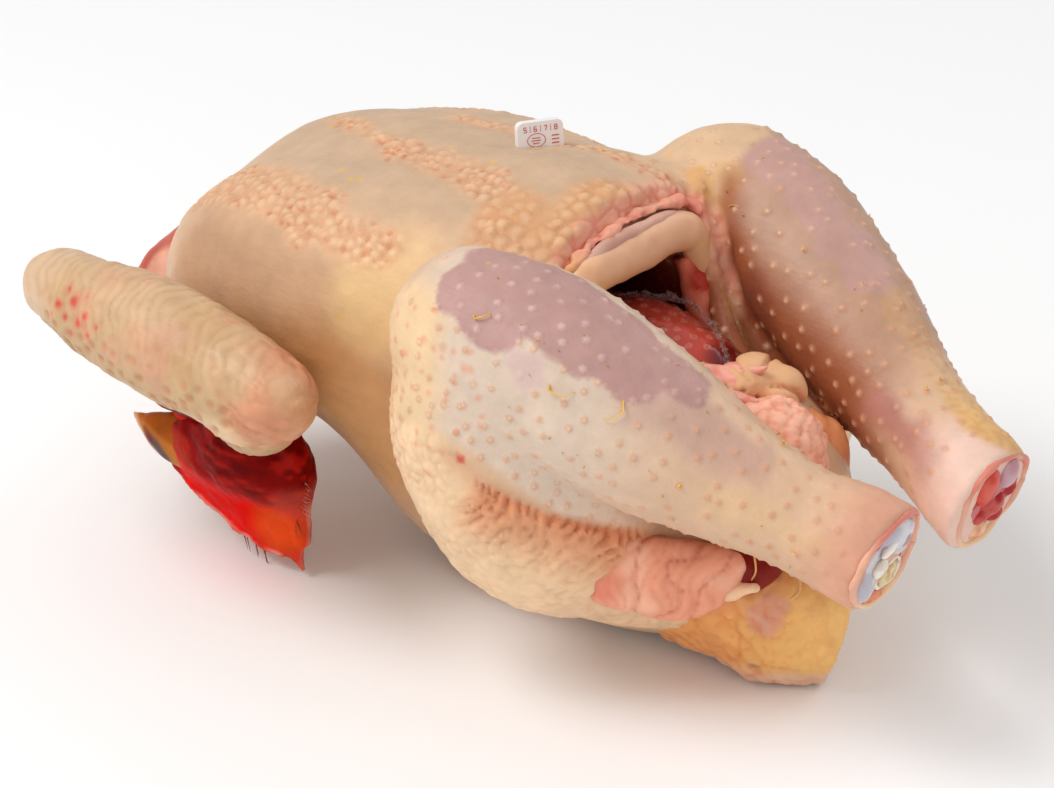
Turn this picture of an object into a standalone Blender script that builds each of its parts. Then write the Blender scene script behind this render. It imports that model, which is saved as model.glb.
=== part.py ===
"""Whole raw chicken, plucked and drawn, head on and feet off, lying on its back.

Frame: metres, +Z up, the bird rests on Z = 0.  +X runs from the neck to the
tail, -Y is the bird's right side, breast upward.  The origin is on the table
under the middle of the body.

One solid of flesh and skin, the bag of giblets that lies in its body cavity,
and the plastic clip tag pinned in the skin of the breast.
"""

import math

import bmesh
import bpy
from mathutils import Euler, Matrix, Vector

# ---------------------------------------------------------------- dimensions
CM = 0.01

BODY_FRONT = -10.6 * CM         # front of the breast
TAIL_TIP = 10.8 * CM            # end of the tail
KEEL_HEIGHT = 11.4 * CM         # table to the ridge of the breast
BREAST_HALF = 5.6 * CM          # middle to the widest part of the breast
RUMP_HALF = 4.0 * CM            # middle to the side of the rump

KNEE = Vector((2.75, 4.95, 9.4)) * CM       # middle of the left knee
HOCK = Vector((12.9, 2.3, 5.55)) * CM       # middle of the left leg's cut end
HIP = Vector((5.4, 2.8, 3.8)) * CM
KNEE_RADIUS = 2.0 * CM
CALF_RADIUS = 2.4 * CM
SHANK_RADIUS = 1.35 * CM
THIGH_RADIUS = 2.7 * CM

WING_REACH = 7.55 * CM          # middle to the right forearm
WING_HEIGHT = 7.15 * CM
ELBOW_X = -1.4 * CM
WRIST_X = -9.6 * CM
FOREARM_RADIUS = 1.62 * CM
LEFT_WING_DROP = 2.1 * CM       # the left wing lies lower and closer
LEFT_WING_TUCK = 0.9 * CM
LEFT_KNEE_LIFT = 0.25 * CM      # the left knee stands a little higher

CAVITY_MIDDLE = Vector((1.1, 0.3, 7.8)) * CM
CAVITY_RADII = Vector((5.2, 2.75, 2.4)) * CM
MOUTH_RADIUS = 2.4 * CM

SKULL_MIDDLE = Vector((-4.9, -5.35, 3.3)) * CM
SKULL_RADII = Vector((1.9, 1.2, 1.35)) * CM
BEAK_TIP = Vector((-9.5, -5.45, 3.1)) * CM
COMB_THICKNESS = 0.5 * CM

TAG_FOOT = Vector((-0.9, 1.5, 11.15)) * CM  # where the tag enters the skin
TAG_LENGTH = 1.25 * CM
TAG_HEIGHT = 1.1 * CM                       # a quarter of it is in the skin
TAG_THICKNESS = 0.24 * CM
TAG_HEADING = 61                            # degrees from +X, seen from above
GAP = 0.0004                                # clearance between separate pieces

VOXEL = 0.0026                  # grain of the flesh before it is smoothed
FLESH_SHARE = 0.125             # share of the remeshed faces that is kept
SINK = 0.15 * CM                # how far the soft back is pressed flat


# -------------------------------------------------------------------- tools
def clear_scene():
    for old in list(bpy.data.objects):
        bpy.data.objects.remove(old, do_unlink=True)


def make_material(name, colour, roughness, metallic=0.0):
    material = bpy.data.materials.new(name)
    material.use_nodes = True
    shader = material.node_tree.nodes["Principled BSDF"]
    shader.inputs["Base Color"].default_value = (*colour, 1.0)
    shader.inputs["Roughness"].default_value = roughness
    shader.inputs["Metallic"].default_value = metallic
    material.diffuse_color = (*colour, 1.0)
    return material


def new_object(name, bm, material=None):
    mesh = bpy.data.meshes.new(name)
    bm.normal_update()
    bm.to_mesh(mesh)
    bm.free()
    mesh.shade_smooth()
    if material:
        mesh.materials.append(material)
    thing = bpy.data.objects.new(name, mesh)
    bpy.context.scene.collection.objects.link(thing)
    return thing


def add_lump(bm, middle, radii, turn=(0, 0, 0), rings=20):
    """An ellipsoid of flesh; turn is in degrees about X, Y and Z."""
    spin = Euler([math.radians(a) for a in turn]).to_matrix().to_4x4()
    size = Matrix.Diagonal((*radii, 1.0))
    place = Matrix.Translation(middle) @ spin @ size
    bmesh.ops.create_uvsphere(
        bm, u_segments=rings + 8, v_segments=rings, radius=1.0, matrix=place)


def smooth_route(points, steps=6):
    """A Catmull-Rom path through (position, radius) pairs."""
    route = []
    first = (points[0][0] * 2 - points[1][0], points[0][1])
    last = (points[-1][0] * 2 - points[-2][0], points[-1][1])
    knots = [first, *points, last]
    for i in range(1, len(knots) - 2):
        for step in range(steps):
            t = step / steps
            weights = (
                0.5 * (-t + 2 * t * t - t ** 3),
                0.5 * (2 - 5 * t * t + 3 * t ** 3),
                0.5 * (t + 4 * t * t - 3 * t ** 3),
                0.5 * (-t * t + t ** 3),
            )
            place = Vector((0, 0, 0))
            radius = 0.0
            for weight, knot in zip(weights, knots[i - 1:i + 3]):
                place += knot[0] * weight
                radius += knot[1] * weight
            route.append((place, radius))
    route.append(points[-1])
    return route


def add_limb(bm, points, sides=20, dome=5, flatten=None):
    """A round limb along points, with domed ends; flatten is (axis, factor)."""
    route = smooth_route(points)
    frames = []
    for i, (place, radius) in enumerate(route):
        before = route[max(0, i - 1)][0]
        after = route[min(len(route) - 1, i + 1)][0]
        frames.append((place, radius, (after - before).normalized()))
    side = Vector((0, 0, 1)).cross(frames[0][2])
    if side.length < 0.1:
        side = Vector((0, 1, 0)).cross(frames[0][2])
    rings = []

    def ring(place, radius, along):
        nonlocal side
        side = (side - along * side.dot(along)).normalized()
        other = along.cross(side)
        loop = []
        for k in range(sides):
            angle = 2 * math.pi * k / sides
            offset = (side * math.cos(angle) + other * math.sin(angle)) * radius
            if flatten:
                axis, factor = flatten
                offset -= axis * offset.dot(axis) * (1 - factor)
            loop.append(bm.verts.new(place + offset))
        rings.append(loop)

    start, start_radius, start_along = frames[0]
    end, end_radius, end_along = frames[-1]
    for k in range(dome, 0, -1):
        angle = math.pi / 2 * k / (dome + 0.3)
        ring(start - start_along * start_radius * math.sin(angle),
             start_radius * math.cos(angle), start_along)
    for place, radius, along in frames:
        ring(place, radius, along)
    for k in range(1, dome + 1):
        angle = math.pi / 2 * k / (dome + 0.3)
        ring(end + end_along * end_radius * math.sin(angle),
             end_radius * math.cos(angle), end_along)
    for low, high in zip(rings, rings[1:]):
        for k in range(sides):
            j = (k + 1) % sides
            bm.faces.new((low[k], low[j], high[j], high[k]))
    bm.faces.new(list(reversed(rings[0])))
    bm.faces.new(rings[-1])


def add_slab(bm, outline, normal, thickness):
    """A closed plate: outline is a list of points, thickened along normal."""
    half = normal.normalized() * thickness / 2
    low = [bm.verts.new(p - half) for p in outline]
    high = [bm.verts.new(p + half) for p in outline]
    bm.faces.new(list(reversed(low)))
    bm.faces.new(high)
    count = len(outline)
    for i in range(count):
        j = (i + 1) % count
        bm.faces.new((low[i], low[j], high[j], high[i]))


def mirrored(point, side):
    return Vector((point[0], point[1] * side, point[2]))


def add_boolean(thing, cutter, operation="DIFFERENCE"):
    cut = thing.modifiers.new(cutter.name, "BOOLEAN")
    cut.object = cutter
    cut.operation = operation
    cut.solver = "EXACT"


def heal(thing, voxel, rounds, share=1.0):
    """Fuse overlapping lumps into one skin and let their joins flow together."""
    grain = thing.modifiers.new("grain", "REMESH")
    grain.mode = "VOXEL"
    grain.voxel_size = voxel
    grain.use_smooth_shade = True
    soften = thing.modifiers.new("soften", "SMOOTH")
    soften.factor = 0.5
    soften.iterations = rounds
    if share < 1.0:
        thin = thing.modifiers.new("thin", "DECIMATE")
        thin.ratio = share


# -------------------------------------------------------------------- flesh
def add_trunk(bm):
    # Breast: a lobe each side of the keel, high and square toward the tail
    # because the body is opened there, falling away toward the neck.
    half = BREAST_HALF
    for side in (-1, 1):
        add_lump(bm, Vector((-3.4 * CM, side * half * 0.36, 8.0 * CM)),
                 (7.0 * CM, half * 0.65, 3.3 * CM), (0, -6, side * -4))
    add_lump(bm, Vector((-2.6 * CM, 0, KEEL_HEIGHT - 3.1 * CM)),
             (-2.6 * CM - BODY_FRONT, 2.6 * CM, 3.1 * CM), (0, -8, 0))
    add_lump(bm, Vector((1.5 * CM, 0.5 * CM, KEEL_HEIGHT - 2.35 * CM)),
             (3.1 * CM, half * 0.78, 2.6 * CM))
    # Ribs and back, held clear of the table at the front by neck and head.
    add_lump(bm, Vector((-3.2, 0, 6.6)) * CM, (7.6 * CM, half * 0.86, 4.3 * CM), (0, 5, 0))
    add_lump(bm, Vector((-0.3, 0, 3.85)) * CM, (5.0 * CM, RUMP_HALF, 3.9 * CM), (0, 2, 0))
    # Rump, the fat pad under the vent, and the tail.
    add_lump(bm, Vector((3.4, 0, 3.7)) * CM, (6.0 * CM, RUMP_HALF, 3.65 * CM), (0, 6, 0))
    add_lump(bm, Vector((7.2, 0.2, 5.2)) * CM, Vector((2.9, 2.3, 2.6)) * CM, (0, 20, 0))
    add_lump(bm, Vector((TAIL_TIP - 2.1 * CM, -0.3 * CM, 1.65 * CM)),
             Vector((2.2, 2.0, 1.5)) * CM, (0, 4, 0))
    # The shoulders, where the breast meets the wings.
    for side in (-1, 1):
        add_lump(bm, mirrored(Vector((-7.4, 3.3, 6.6)) * CM, side),
                 Vector((2.6, 2.0, 2.2)) * CM)


def add_leg(bm, side):
    hip = mirrored(HIP, side)
    knee = mirrored(KNEE, side)
    if side > 0:
        knee.z += LEFT_KNEE_LIFT
    hock = mirrored(HOCK, side)
    add_limb(bm, [
        (hip, THIGH_RADIUS * 0.82),
        (hip.lerp(knee, 0.25) + Vector((-0.35, side * 0.8, -0.3)) * CM, THIGH_RADIUS),
        (hip.lerp(knee, 0.6) + Vector((-0.4, side * 0.75, -0.4)) * CM, THIGH_RADIUS * 0.96),
        (knee - Vector((0, 0, 0.45)) * CM, KNEE_RADIUS),
    ])
    add_limb(bm, [
        (knee, KNEE_RADIUS),
        (knee.lerp(hock, 0.18) + Vector((0, side * 0.15, 0.35)) * CM, CALF_RADIUS),
        (knee.lerp(hock, 0.45) + Vector((0, side * 0.2, 0.3)) * CM, CALF_RADIUS * 0.92),
        (knee.lerp(hock, 0.73) + Vector((0, side * 0.1, 0.1)) * CM, SHANK_RADIUS * 1.06),
        (hock, SHANK_RADIUS),
    ])


def add_wing(bm, side, drop=0.0, tuck=0.0):
    """A wing folded in three: upper arm back, forearm forward, tip behind it."""
    out = (WING_REACH - tuck) * side
    height = WING_HEIGHT - drop
    elbow = Vector((ELBOW_X, out, height - 0.1 * CM))
    wrist = Vector((WRIST_X, out, height + 0.4 * CM))
    shoulder = Vector((-8.0 * CM, 4.0 * CM * side, height - 0.3 * CM))
    add_limb(bm, [
        (shoulder, 1.6 * CM),
        (shoulder.lerp(elbow, 0.5) + Vector((0, side * 0.1, -0.2)) * CM, 1.6 * CM),
        (elbow + Vector((-0.4, side * -0.8, -0.4)) * CM, 1.25 * CM),
    ])
    add_limb(bm, [
        (elbow, FOREARM_RADIUS * 0.85),
        (elbow.lerp(wrist, 0.37), FOREARM_RADIUS),
        (elbow.lerp(wrist, 0.74), FOREARM_RADIUS * 0.87),
        (wrist, FOREARM_RADIUS * 0.6),
    ])
    # The flat tip lies folded back along the inner side of the forearm.
    inner = Vector((0, -1.25 * CM * side, -0.7 * CM))
    add_limb(bm, [
        (wrist + inner * 0.3, 0.95 * CM),
        (wrist.lerp(elbow, 0.35) + inner, 0.9 * CM),
        (wrist.lerp(elbow, 0.72) + inner, 0.55 * CM),
    ])


def add_neck_and_head(bm):
    # The neck turns round the right shoulder and doubles back under the wing,
    # so that the head lies upside down on the table with its beak forward.
    add_limb(bm, [
        (Vector((-8.8, -0.4, 6.3)) * CM, 2.0 * CM),
        (Vector((-11.2, -1.5, 5.3)) * CM, 1.35 * CM),
        (Vector((-10.9, -3.6, 4.7)) * CM, 1.15 * CM),
        (Vector((-8.0, -5.1, 4.8)) * CM, 1.1 * CM),
        (Vector((-4.6, -5.5, 4.7)) * CM, 1.1 * CM),
        (Vector((-3.6, -5.4, 3.9)) * CM, 1.15 * CM),
        (SKULL_MIDDLE, 1.2 * CM),
    ])
    add_lump(bm, SKULL_MIDDLE, SKULL_RADII, (0, -8, 0))
    beak_root = SKULL_MIDDLE + Vector((-1.7, 0, -0.25)) * CM
    add_limb(bm, [
        (beak_root, 0.95 * CM),
        (beak_root.lerp(BEAK_TIP, 0.45) + Vector((0, 0, -0.2)) * CM, 0.62 * CM),
        (BEAK_TIP + Vector((0.3, 0, 0)) * CM, 0.28 * CM),
    ], sides=14)


def comb_outline():
    """The comb hangs from the crown to the table, deepest toward the nape."""
    crown = SKULL_MIDDLE + Vector((0, 0.05, 0)) * CM
    points = ((-2.8, -0.55), (-1.8, -1.35), (-0.7, -1.95), (0.4, -2.6), (1.4, -3.2),
              (1.75, -3.1), (1.7, -2.3), (1.85, -1.6), (1.5, -0.6), (0.6, 0.3), (-1.6, 0.1))
    return [crown + Vector((x, 0, z)) * CM for x, z in points]


def add_vent_fat(bm):
    """Soft lobes of fat and skin that close the lower edge of the opening."""
    add_lump(bm, Vector((7.6, 0.3, 7.3)) * CM, Vector((1.1, 1.3, 0.95)) * CM, (0, 25, 0))
    add_lump(bm, Vector((8.9, -0.4, 6.0)) * CM, Vector((1.25, 1.35, 1.5)) * CM, (0, 20, 0))
    add_lump(bm, Vector((9.2, 1.2, 5.4)) * CM, Vector((0.8, 0.8, 1.7)) * CM, (0, 10, 0))
    add_lump(bm, Vector((6.4, -0.8, 7.1)) * CM, Vector((1.3, 1.0, 0.7)) * CM, (0, 15, 0))


def build_giblet_lumps(name, swell, material=None):
    """Liver, heart and gizzard in their bag, one soft long parcel."""
    bm = bmesh.new()
    add_lump(bm, Vector((0.4, 0.3, 6.95)) * CM, Vector((2.6, 1.5, 1.35)) * CM, (0, -4, 6), 16)
    add_lump(bm, Vector((3.4, 0.4, 7.1)) * CM, Vector((2.5, 1.75, 1.45)) * CM, (0, 3, -5), 16)
    add_lump(bm, Vector((5.3, 0.7, 7.0)) * CM, Vector((1.5, 1.35, 1.15)) * CM, (0, 8, 0), 16)
    parcel = new_object(name, bm, material)
    heal(parcel, 0.0022, 5, 0.22)
    if swell:
        clearance = parcel.modifiers.new("clearance", "DISPLACE")
        clearance.strength = swell
        clearance.mid_level = 0.0
    return parcel


def build_tag(name, swell, material=None):
    """A thin clip tag with rounded corners, standing in a fold of skin."""
    bm = bmesh.new()
    half = TAG_LENGTH / 2 + swell
    low = -TAG_HEIGHT * 0.25 - swell
    high = TAG_HEIGHT * 0.75 + swell
    corner = 0.16 * CM
    outline = []
    for middle_x, middle_z, first in (
            (half - corner, high - corner, 0), (corner - half, high - corner, 90),
            (corner - half, low + corner, 180), (half - corner, low + corner, 270)):
        for step in range(4):
            angle = math.radians(first + 30 * step)
            outline.append(Vector((middle_x + corner * math.cos(angle), 0,
                                   middle_z + corner * math.sin(angle))))
    add_slab(bm, list(reversed(outline)), Vector((0, 1, 0)), TAG_THICKNESS + 2 * swell)
    tag = new_object(name, bm, material)
    tag.location = TAG_FOOT - Vector((0, 0, SINK))
    tag.rotation_euler = Euler((math.radians(-8), 0, math.radians(TAG_HEADING)))
    return tag


def build_flesh(material):
    bm = bmesh.new()
    add_trunk(bm)
    for side in (-1, 1):
        add_leg(bm, side)
    add_wing(bm, -1)
    add_wing(bm, 1, LEFT_WING_DROP, LEFT_WING_TUCK)
    add_neck_and_head(bm)
    add_slab(bm, comb_outline(), Vector((0, 1, 0)), COMB_THICKNESS)
    add_vent_fat(bm)
    flesh = new_object("chicken", bm, material)
    heal(flesh, VOXEL, 8, FLESH_SHARE)
    flesh.location.z = -SINK

    # Body cavity: a long hollow under the breast, open toward the tail.
    bm = bmesh.new()
    add_lump(bm, CAVITY_MIDDLE, CAVITY_RADII, (0, 10, 0))
    cutters = [new_object("cutter_cavity", bm)]
    bm = bmesh.new()
    add_limb(bm, [
        (Vector((2.8, 0.4, 8.1)) * CM, MOUTH_RADIUS),
        (Vector((4.5, 0.3, 9.1)) * CM, MOUTH_RADIUS * 0.9),
        (Vector((6.4, 0.2, 10.8)) * CM, MOUTH_RADIUS * 0.72),
    ], sides=28)
    cutters.append(new_object("cutter_mouth", bm))
    # Feet are cut off through the hock joints; the right cut slopes outward.
    for side, name, slope in ((-1, "right", (0, -0.35, 0.25)), (1, "left", (0, 0, 0.1))):
        hock = mirrored(HOCK, side)
        along = (hock - mirrored(KNEE, side)).normalized() + Vector(slope)
        turn = along.to_track_quat("Z", "Y").to_matrix().to_4x4()
        bm = bmesh.new()
        size = 6 * CM
        bmesh.ops.create_cube(bm, size=size, matrix=Matrix.Translation(
            hock + along.normalized() * (size / 2 + 0.5 * CM)) @ turn)
        cutters.append(new_object("cutter_hock_" + name, bm))
    # Beds for the pieces that lie in the flesh.
    cutters.append(build_giblet_lumps("cutter_giblets", 2 * GAP))
    cutters.append(build_tag("cutter_tag", GAP))
    # The soft back lies flat where it rests.
    bm = bmesh.new()
    size = 60 * CM
    bmesh.ops.create_cube(bm, size=size, matrix=Matrix.Translation((0, 0, -size / 2)))
    cutters.append(new_object("cutter_table", bm))
    for cutter in cutters:
        cutter.hide_render = True
        cutter.display_type = "WIRE"
        add_boolean(flesh, cutter)
    return flesh


clear_scene()
build_flesh(make_material("chicken_skin", (0.79, 0.58, 0.40), 0.42))
build_giblet_lumps("giblets", 0.0, make_material("bagged_giblets", (0.20, 0.02, 0.02), 0.25))
build_tag("clip_tag", 0.0, make_material("white_plastic", (0.86, 0.85, 0.84), 0.35))
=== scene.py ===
# %% [markdown]
# # A whole raw chicken, lying on its back
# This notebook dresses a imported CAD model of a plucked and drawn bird. The
# flesh is modelled the way a potter would do it: soft lumps of clay are pushed
# together and hollows are scooped out, then a skin is laid over the clay, made
# finer where the real skin is rough, and raised and painted point by point.

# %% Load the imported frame
import math

import bpy
import numpy as np
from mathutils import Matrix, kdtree


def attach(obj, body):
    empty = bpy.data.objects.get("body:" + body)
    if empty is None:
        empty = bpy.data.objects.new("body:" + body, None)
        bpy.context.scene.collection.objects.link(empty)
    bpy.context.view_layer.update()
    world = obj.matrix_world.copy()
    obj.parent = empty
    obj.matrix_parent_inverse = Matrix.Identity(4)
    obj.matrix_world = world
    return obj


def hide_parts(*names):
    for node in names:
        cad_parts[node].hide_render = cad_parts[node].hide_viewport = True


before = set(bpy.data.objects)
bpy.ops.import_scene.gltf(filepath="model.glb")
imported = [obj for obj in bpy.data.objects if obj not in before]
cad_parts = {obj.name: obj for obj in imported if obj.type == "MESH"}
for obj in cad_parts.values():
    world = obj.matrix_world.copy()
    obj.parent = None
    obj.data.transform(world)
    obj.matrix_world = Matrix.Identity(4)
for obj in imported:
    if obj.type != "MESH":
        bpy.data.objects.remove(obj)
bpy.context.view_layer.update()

CM = 0.01                       # the clay is worked in centimetres

# %% [markdown]
# ## Camera
# The bird is seen from a little above and from its right side, towards the
# tail. A long lens from 90 cm keeps the legs from looking too big.

# %% Camera
AZIMUTH, ELEVATION = math.radians(42), math.radians(27)
DISTANCE = 0.90
LENS = 116.8
AIM = np.array([0, 0, 0.048])
TOWARDS = np.array([math.sin(AZIMUTH) * math.cos(ELEVATION),
                    -math.cos(AZIMUTH) * math.cos(ELEVATION),
                    math.sin(ELEVATION)])

camera_data = bpy.data.cameras.new("camera")
camera_data.lens = LENS
camera_data.sensor_width = 36
camera_data.clip_start = 0.05
camera = bpy.data.objects.new("camera", camera_data)
bpy.context.scene.collection.objects.link(camera)
camera.location = AIM + TOWARDS * DISTANCE
camera.rotation_euler = (math.pi / 2 - ELEVATION, 0, AZIMUTH)
bpy.context.scene.camera = camera
bpy.context.scene.view_settings.view_transform = "Standard"
print("camera stands at", [round(float(v), 3) for v in camera.location])

# %% [markdown]
# ## Light and floor
# Raw meat reads best in broad, shadowless light: two big soft boxes from the
# front, a weak one behind to rim the far leg, and a bright even surround that
# fills the creases. The floor is a plain pale sheet.

# %% Light and floor
def add_soft_box(name, place, aim, size, power):
    lamp = bpy.data.lights.new(name, "AREA")
    lamp.energy = power
    lamp.size = size
    box = bpy.data.objects.new(name, lamp)
    bpy.context.scene.collection.objects.link(box)
    box.location = place
    heading = bpy.data.objects.new("aim", None).location.copy()
    heading.xyz = [a - p for a, p in zip(aim, place)]
    box.rotation_euler = heading.to_track_quat("-Z", "Y").to_euler()
    return box


add_soft_box("key_box", (-0.45, -0.75, 1.25), (0, 0, 0.05), 0.8, 13.5)
add_soft_box("fill_box", (1.15, -0.75, 0.55), (0, 0, 0.05), 0.9, 2.4)
add_soft_box("back_box", (0.4, 1.1, 0.9), (0, 0, 0.05), 0.8, 3.0)

world = bpy.data.worlds.new("surround")
bpy.context.scene.world = world
world.use_nodes = True
world.node_tree.nodes["Background"].inputs["Color"].default_value = (1, 1, 1, 1)
world.node_tree.nodes["Background"].inputs["Strength"].default_value = 0.55

floor_mesh = bpy.data.meshes.new("floor")
reach = 6.0
floor_mesh.from_pydata([(-reach, -reach, 0), (reach, -reach, 0), (reach, reach, 0), (-reach, reach, 0)],
                       [], [(0, 1, 2, 3)])
floor = bpy.data.objects.new("floor", floor_mesh)
bpy.context.scene.collection.objects.link(floor)
floor_finish = bpy.data.materials.new("pale_floor")
floor_finish.use_nodes = True
floor_shader = floor_finish.node_tree.nodes["Principled BSDF"]
floor_shader.inputs["Base Color"].default_value = (0.96, 0.96, 0.96, 1)
floor_shader.inputs["Roughness"].default_value = 0.6
floor_mesh.materials.append(floor_finish)

# %% [markdown]
# ## Clay
# Soft flesh has no edges: lumps of muscle and fat run into each other. A
# distance field gives that directly. Every lump is a formula for the distance
# to its surface, and a smooth minimum lets two lumps flow together over a
# stated width. Sculpting by hand or metaballs would also do; the field is
# exact, quick and easy to change.

# %% Clay: distances to lumps and limbs
EMPTY = 9.0


def turned(rx=0, ry=0, rz=0):
    """Rotation matrix from degrees about X, then Y, then Z."""
    a, b, c = (math.radians(v) for v in (rx, ry, rz))
    about_x = np.array([[1, 0, 0], [0, math.cos(a), -math.sin(a)], [0, math.sin(a), math.cos(a)]])
    about_y = np.array([[math.cos(b), 0, math.sin(b)], [0, 1, 0], [-math.sin(b), 0, math.cos(b)]])
    about_z = np.array([[math.cos(c), -math.sin(c), 0], [math.sin(c), math.cos(c), 0], [0, 0, 1]])
    return about_z @ about_y @ about_x


def lump(middle, radii, turn=(0, 0, 0)):
    """An ellipsoid: its distance formula and its box."""
    middle, radii = np.array(middle, np.float32), np.array(radii, np.float32)
    spin = turned(*turn).astype(np.float32)

    def distance(points):
        q = (points - middle) @ spin
        k0 = np.linalg.norm(q / radii, axis=-1)
        k1 = np.linalg.norm(q / (radii * radii), axis=-1)
        return k0 * (k0 - 1) / np.maximum(k1, 1e-6)

    reach = np.abs(spin) @ radii
    return distance, middle - reach, middle + reach


def smooth_route(knots, steps=6):
    """A Catmull-Rom path through rows of numbers: x, y, z and anything else."""
    knots = np.array(knots, float)
    before, after = 2 * knots[0] - knots[1], 2 * knots[-1] - knots[-2]
    before[3:], after[3:] = knots[0, 3:], knots[-1, 3:]
    p = np.vstack([before, knots, after])
    t = np.linspace(0, 1, steps, endpoint=False)[:, None]
    route = [0.5 * (2 * p[i] + (p[i + 1] - p[i - 1]) * t
                    + (2 * p[i - 1] - 5 * p[i] + 4 * p[i + 1] - p[i + 2]) * t ** 2
                    + (3 * p[i] - p[i - 1] - 3 * p[i + 1] + p[i + 2]) * t ** 3)
             for i in range(1, len(p) - 2)]
    return np.vstack(route + [p[-2:-1]]).astype(np.float32)


def limb(knots, steps=6, flatten=None):
    """A round limb through rows of x, y, z, radius; flatten is (axis, factor)."""
    route = smooth_route(knots, steps)
    press = np.eye(3, dtype=np.float32)
    if flatten:
        axis = np.array(flatten[0], float) / np.linalg.norm(flatten[0])
        press = (np.eye(3) + (1 / flatten[1] - 1) * np.outer(axis, axis)).astype(np.float32)
    middles, radii = route[:, :3] @ press, route[:, 3]

    def distance(points):
        q = points @ press
        best = np.full(points.shape[:-1], EMPTY, np.float32)
        for i in range(len(middles) - 1):
            start, along = middles[i], middles[i + 1] - middles[i]
            share = np.clip(((q - start) @ along) / max(float(along @ along), 1e-9), 0, 1)
            away = np.linalg.norm(q - start - share[..., None] * along, axis=-1)
            np.minimum(best, away - (radii[i] + share * (radii[i + 1] - radii[i])), out=best)
        return best * (flatten[1] if flatten else 1)

    reach = radii.max()
    return distance, route[:, :3].min(0) - reach, route[:, :3].max(0) + reach


def soft_min(a, b, blend):
    """The smaller of two distances, rounded over a width of blend."""
    h = np.maximum(blend - np.abs(a - b), 0) / blend
    return np.minimum(a, b) - h * h * blend * 0.25


# %% Clay: a block that lumps are added to and cut from
class Clay:
    """Distances on a grid of points, in centimetres."""

    def __init__(self, low, high, step):
        self.low, self.step = np.array(low, float), step
        count = [int(math.ceil((h - l) / step)) + 1 for l, h in zip(low, high)]
        self.axes = [(self.low[i] + step * np.arange(count[i])).astype(np.float32) for i in range(3)]
        self.value = np.full(count, EMPTY, np.float32)

    def window(self, low, high):
        part = []
        for i in range(3):
            first = max(0, int((low[i] - self.low[i]) / self.step))
            last = min(len(self.axes[i]), int((high[i] - self.low[i]) / self.step) + 2)
            part.append(slice(first, max(first, last)))
        grid = np.meshgrid(*[self.axes[i][part[i]] for i in range(3)], indexing="ij")
        return tuple(part), np.stack(grid, -1)

    def add(self, shape, blend=0.5):
        distance, low, high = shape
        part, points = self.window(low - blend - 0.8, high + blend + 0.8)
        if points.size:
            self.value[part] = soft_min(self.value[part], distance(points).astype(np.float32), blend)

    def cut(self, shape, blend=0.3):
        distance, low, high = shape
        part, points = self.window(low - blend - 0.8, high + blend + 0.8)
        if points.size:
            self.value[part] = -soft_min(-self.value[part], distance(points).astype(np.float32), blend)

    def slice_off(self, point, heading, reach=99.0, blend=0.1):
        """Cuts away what lies past a plane, within reach of the point."""
        point, heading = np.array(point, np.float32), np.array(heading, np.float32)

        def beyond(points):
            away = np.linalg.norm(points - point, axis=-1) - reach
            return np.maximum(-((points - point) @ heading), away)

        self.cut((beyond, point - reach, point + reach), blend)

    def look_up(self, points):
        """Distance and its slope at any points, read between the grid points."""
        q = (points - self.low) / self.step
        q = np.clip(q, 0, np.array(self.value.shape) - 1.001)
        i = q.astype(int)
        f = q - i
        v = self.value
        c = [[[v[i[:, 0] + x, i[:, 1] + y, i[:, 2] + z] for z in (0, 1)] for y in (0, 1)] for x in (0, 1)]
        fx, fy, fz = f.T

        def mix(a, b, t):
            return a + (b - a) * t
        xy = [[mix(c[0][y][z], c[1][y][z], fx) for z in (0, 1)] for y in (0, 1)]
        z0, z1 = mix(xy[0][0], xy[1][0], fy), mix(xy[0][1], xy[1][1], fy)
        slope_x = mix(mix(c[1][0][0] - c[0][0][0], c[1][1][0] - c[0][1][0], fy),
                      mix(c[1][0][1] - c[0][0][1], c[1][1][1] - c[0][1][1], fy), fz)
        slope_y = mix(xy[1][0] - xy[0][0], xy[1][1] - xy[0][1], fz)
        slope = np.stack([slope_x, slope_y, z1 - z0], 1) / self.step
        return mix(z0, z1, fz), slope


# %% [markdown]
# ## Skin over the clay
# The skin is a mesh of triangles. One point goes into every grid cell that the
# surface passes through, and one square across every grid edge that it cuts
# (this is called surface nets). Then the triangles are split where the skin
# needs detail, and each new point is pulled back onto the clay. A remesh
# modifier would spend the same detail everywhere, on the smooth belly too.

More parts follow.
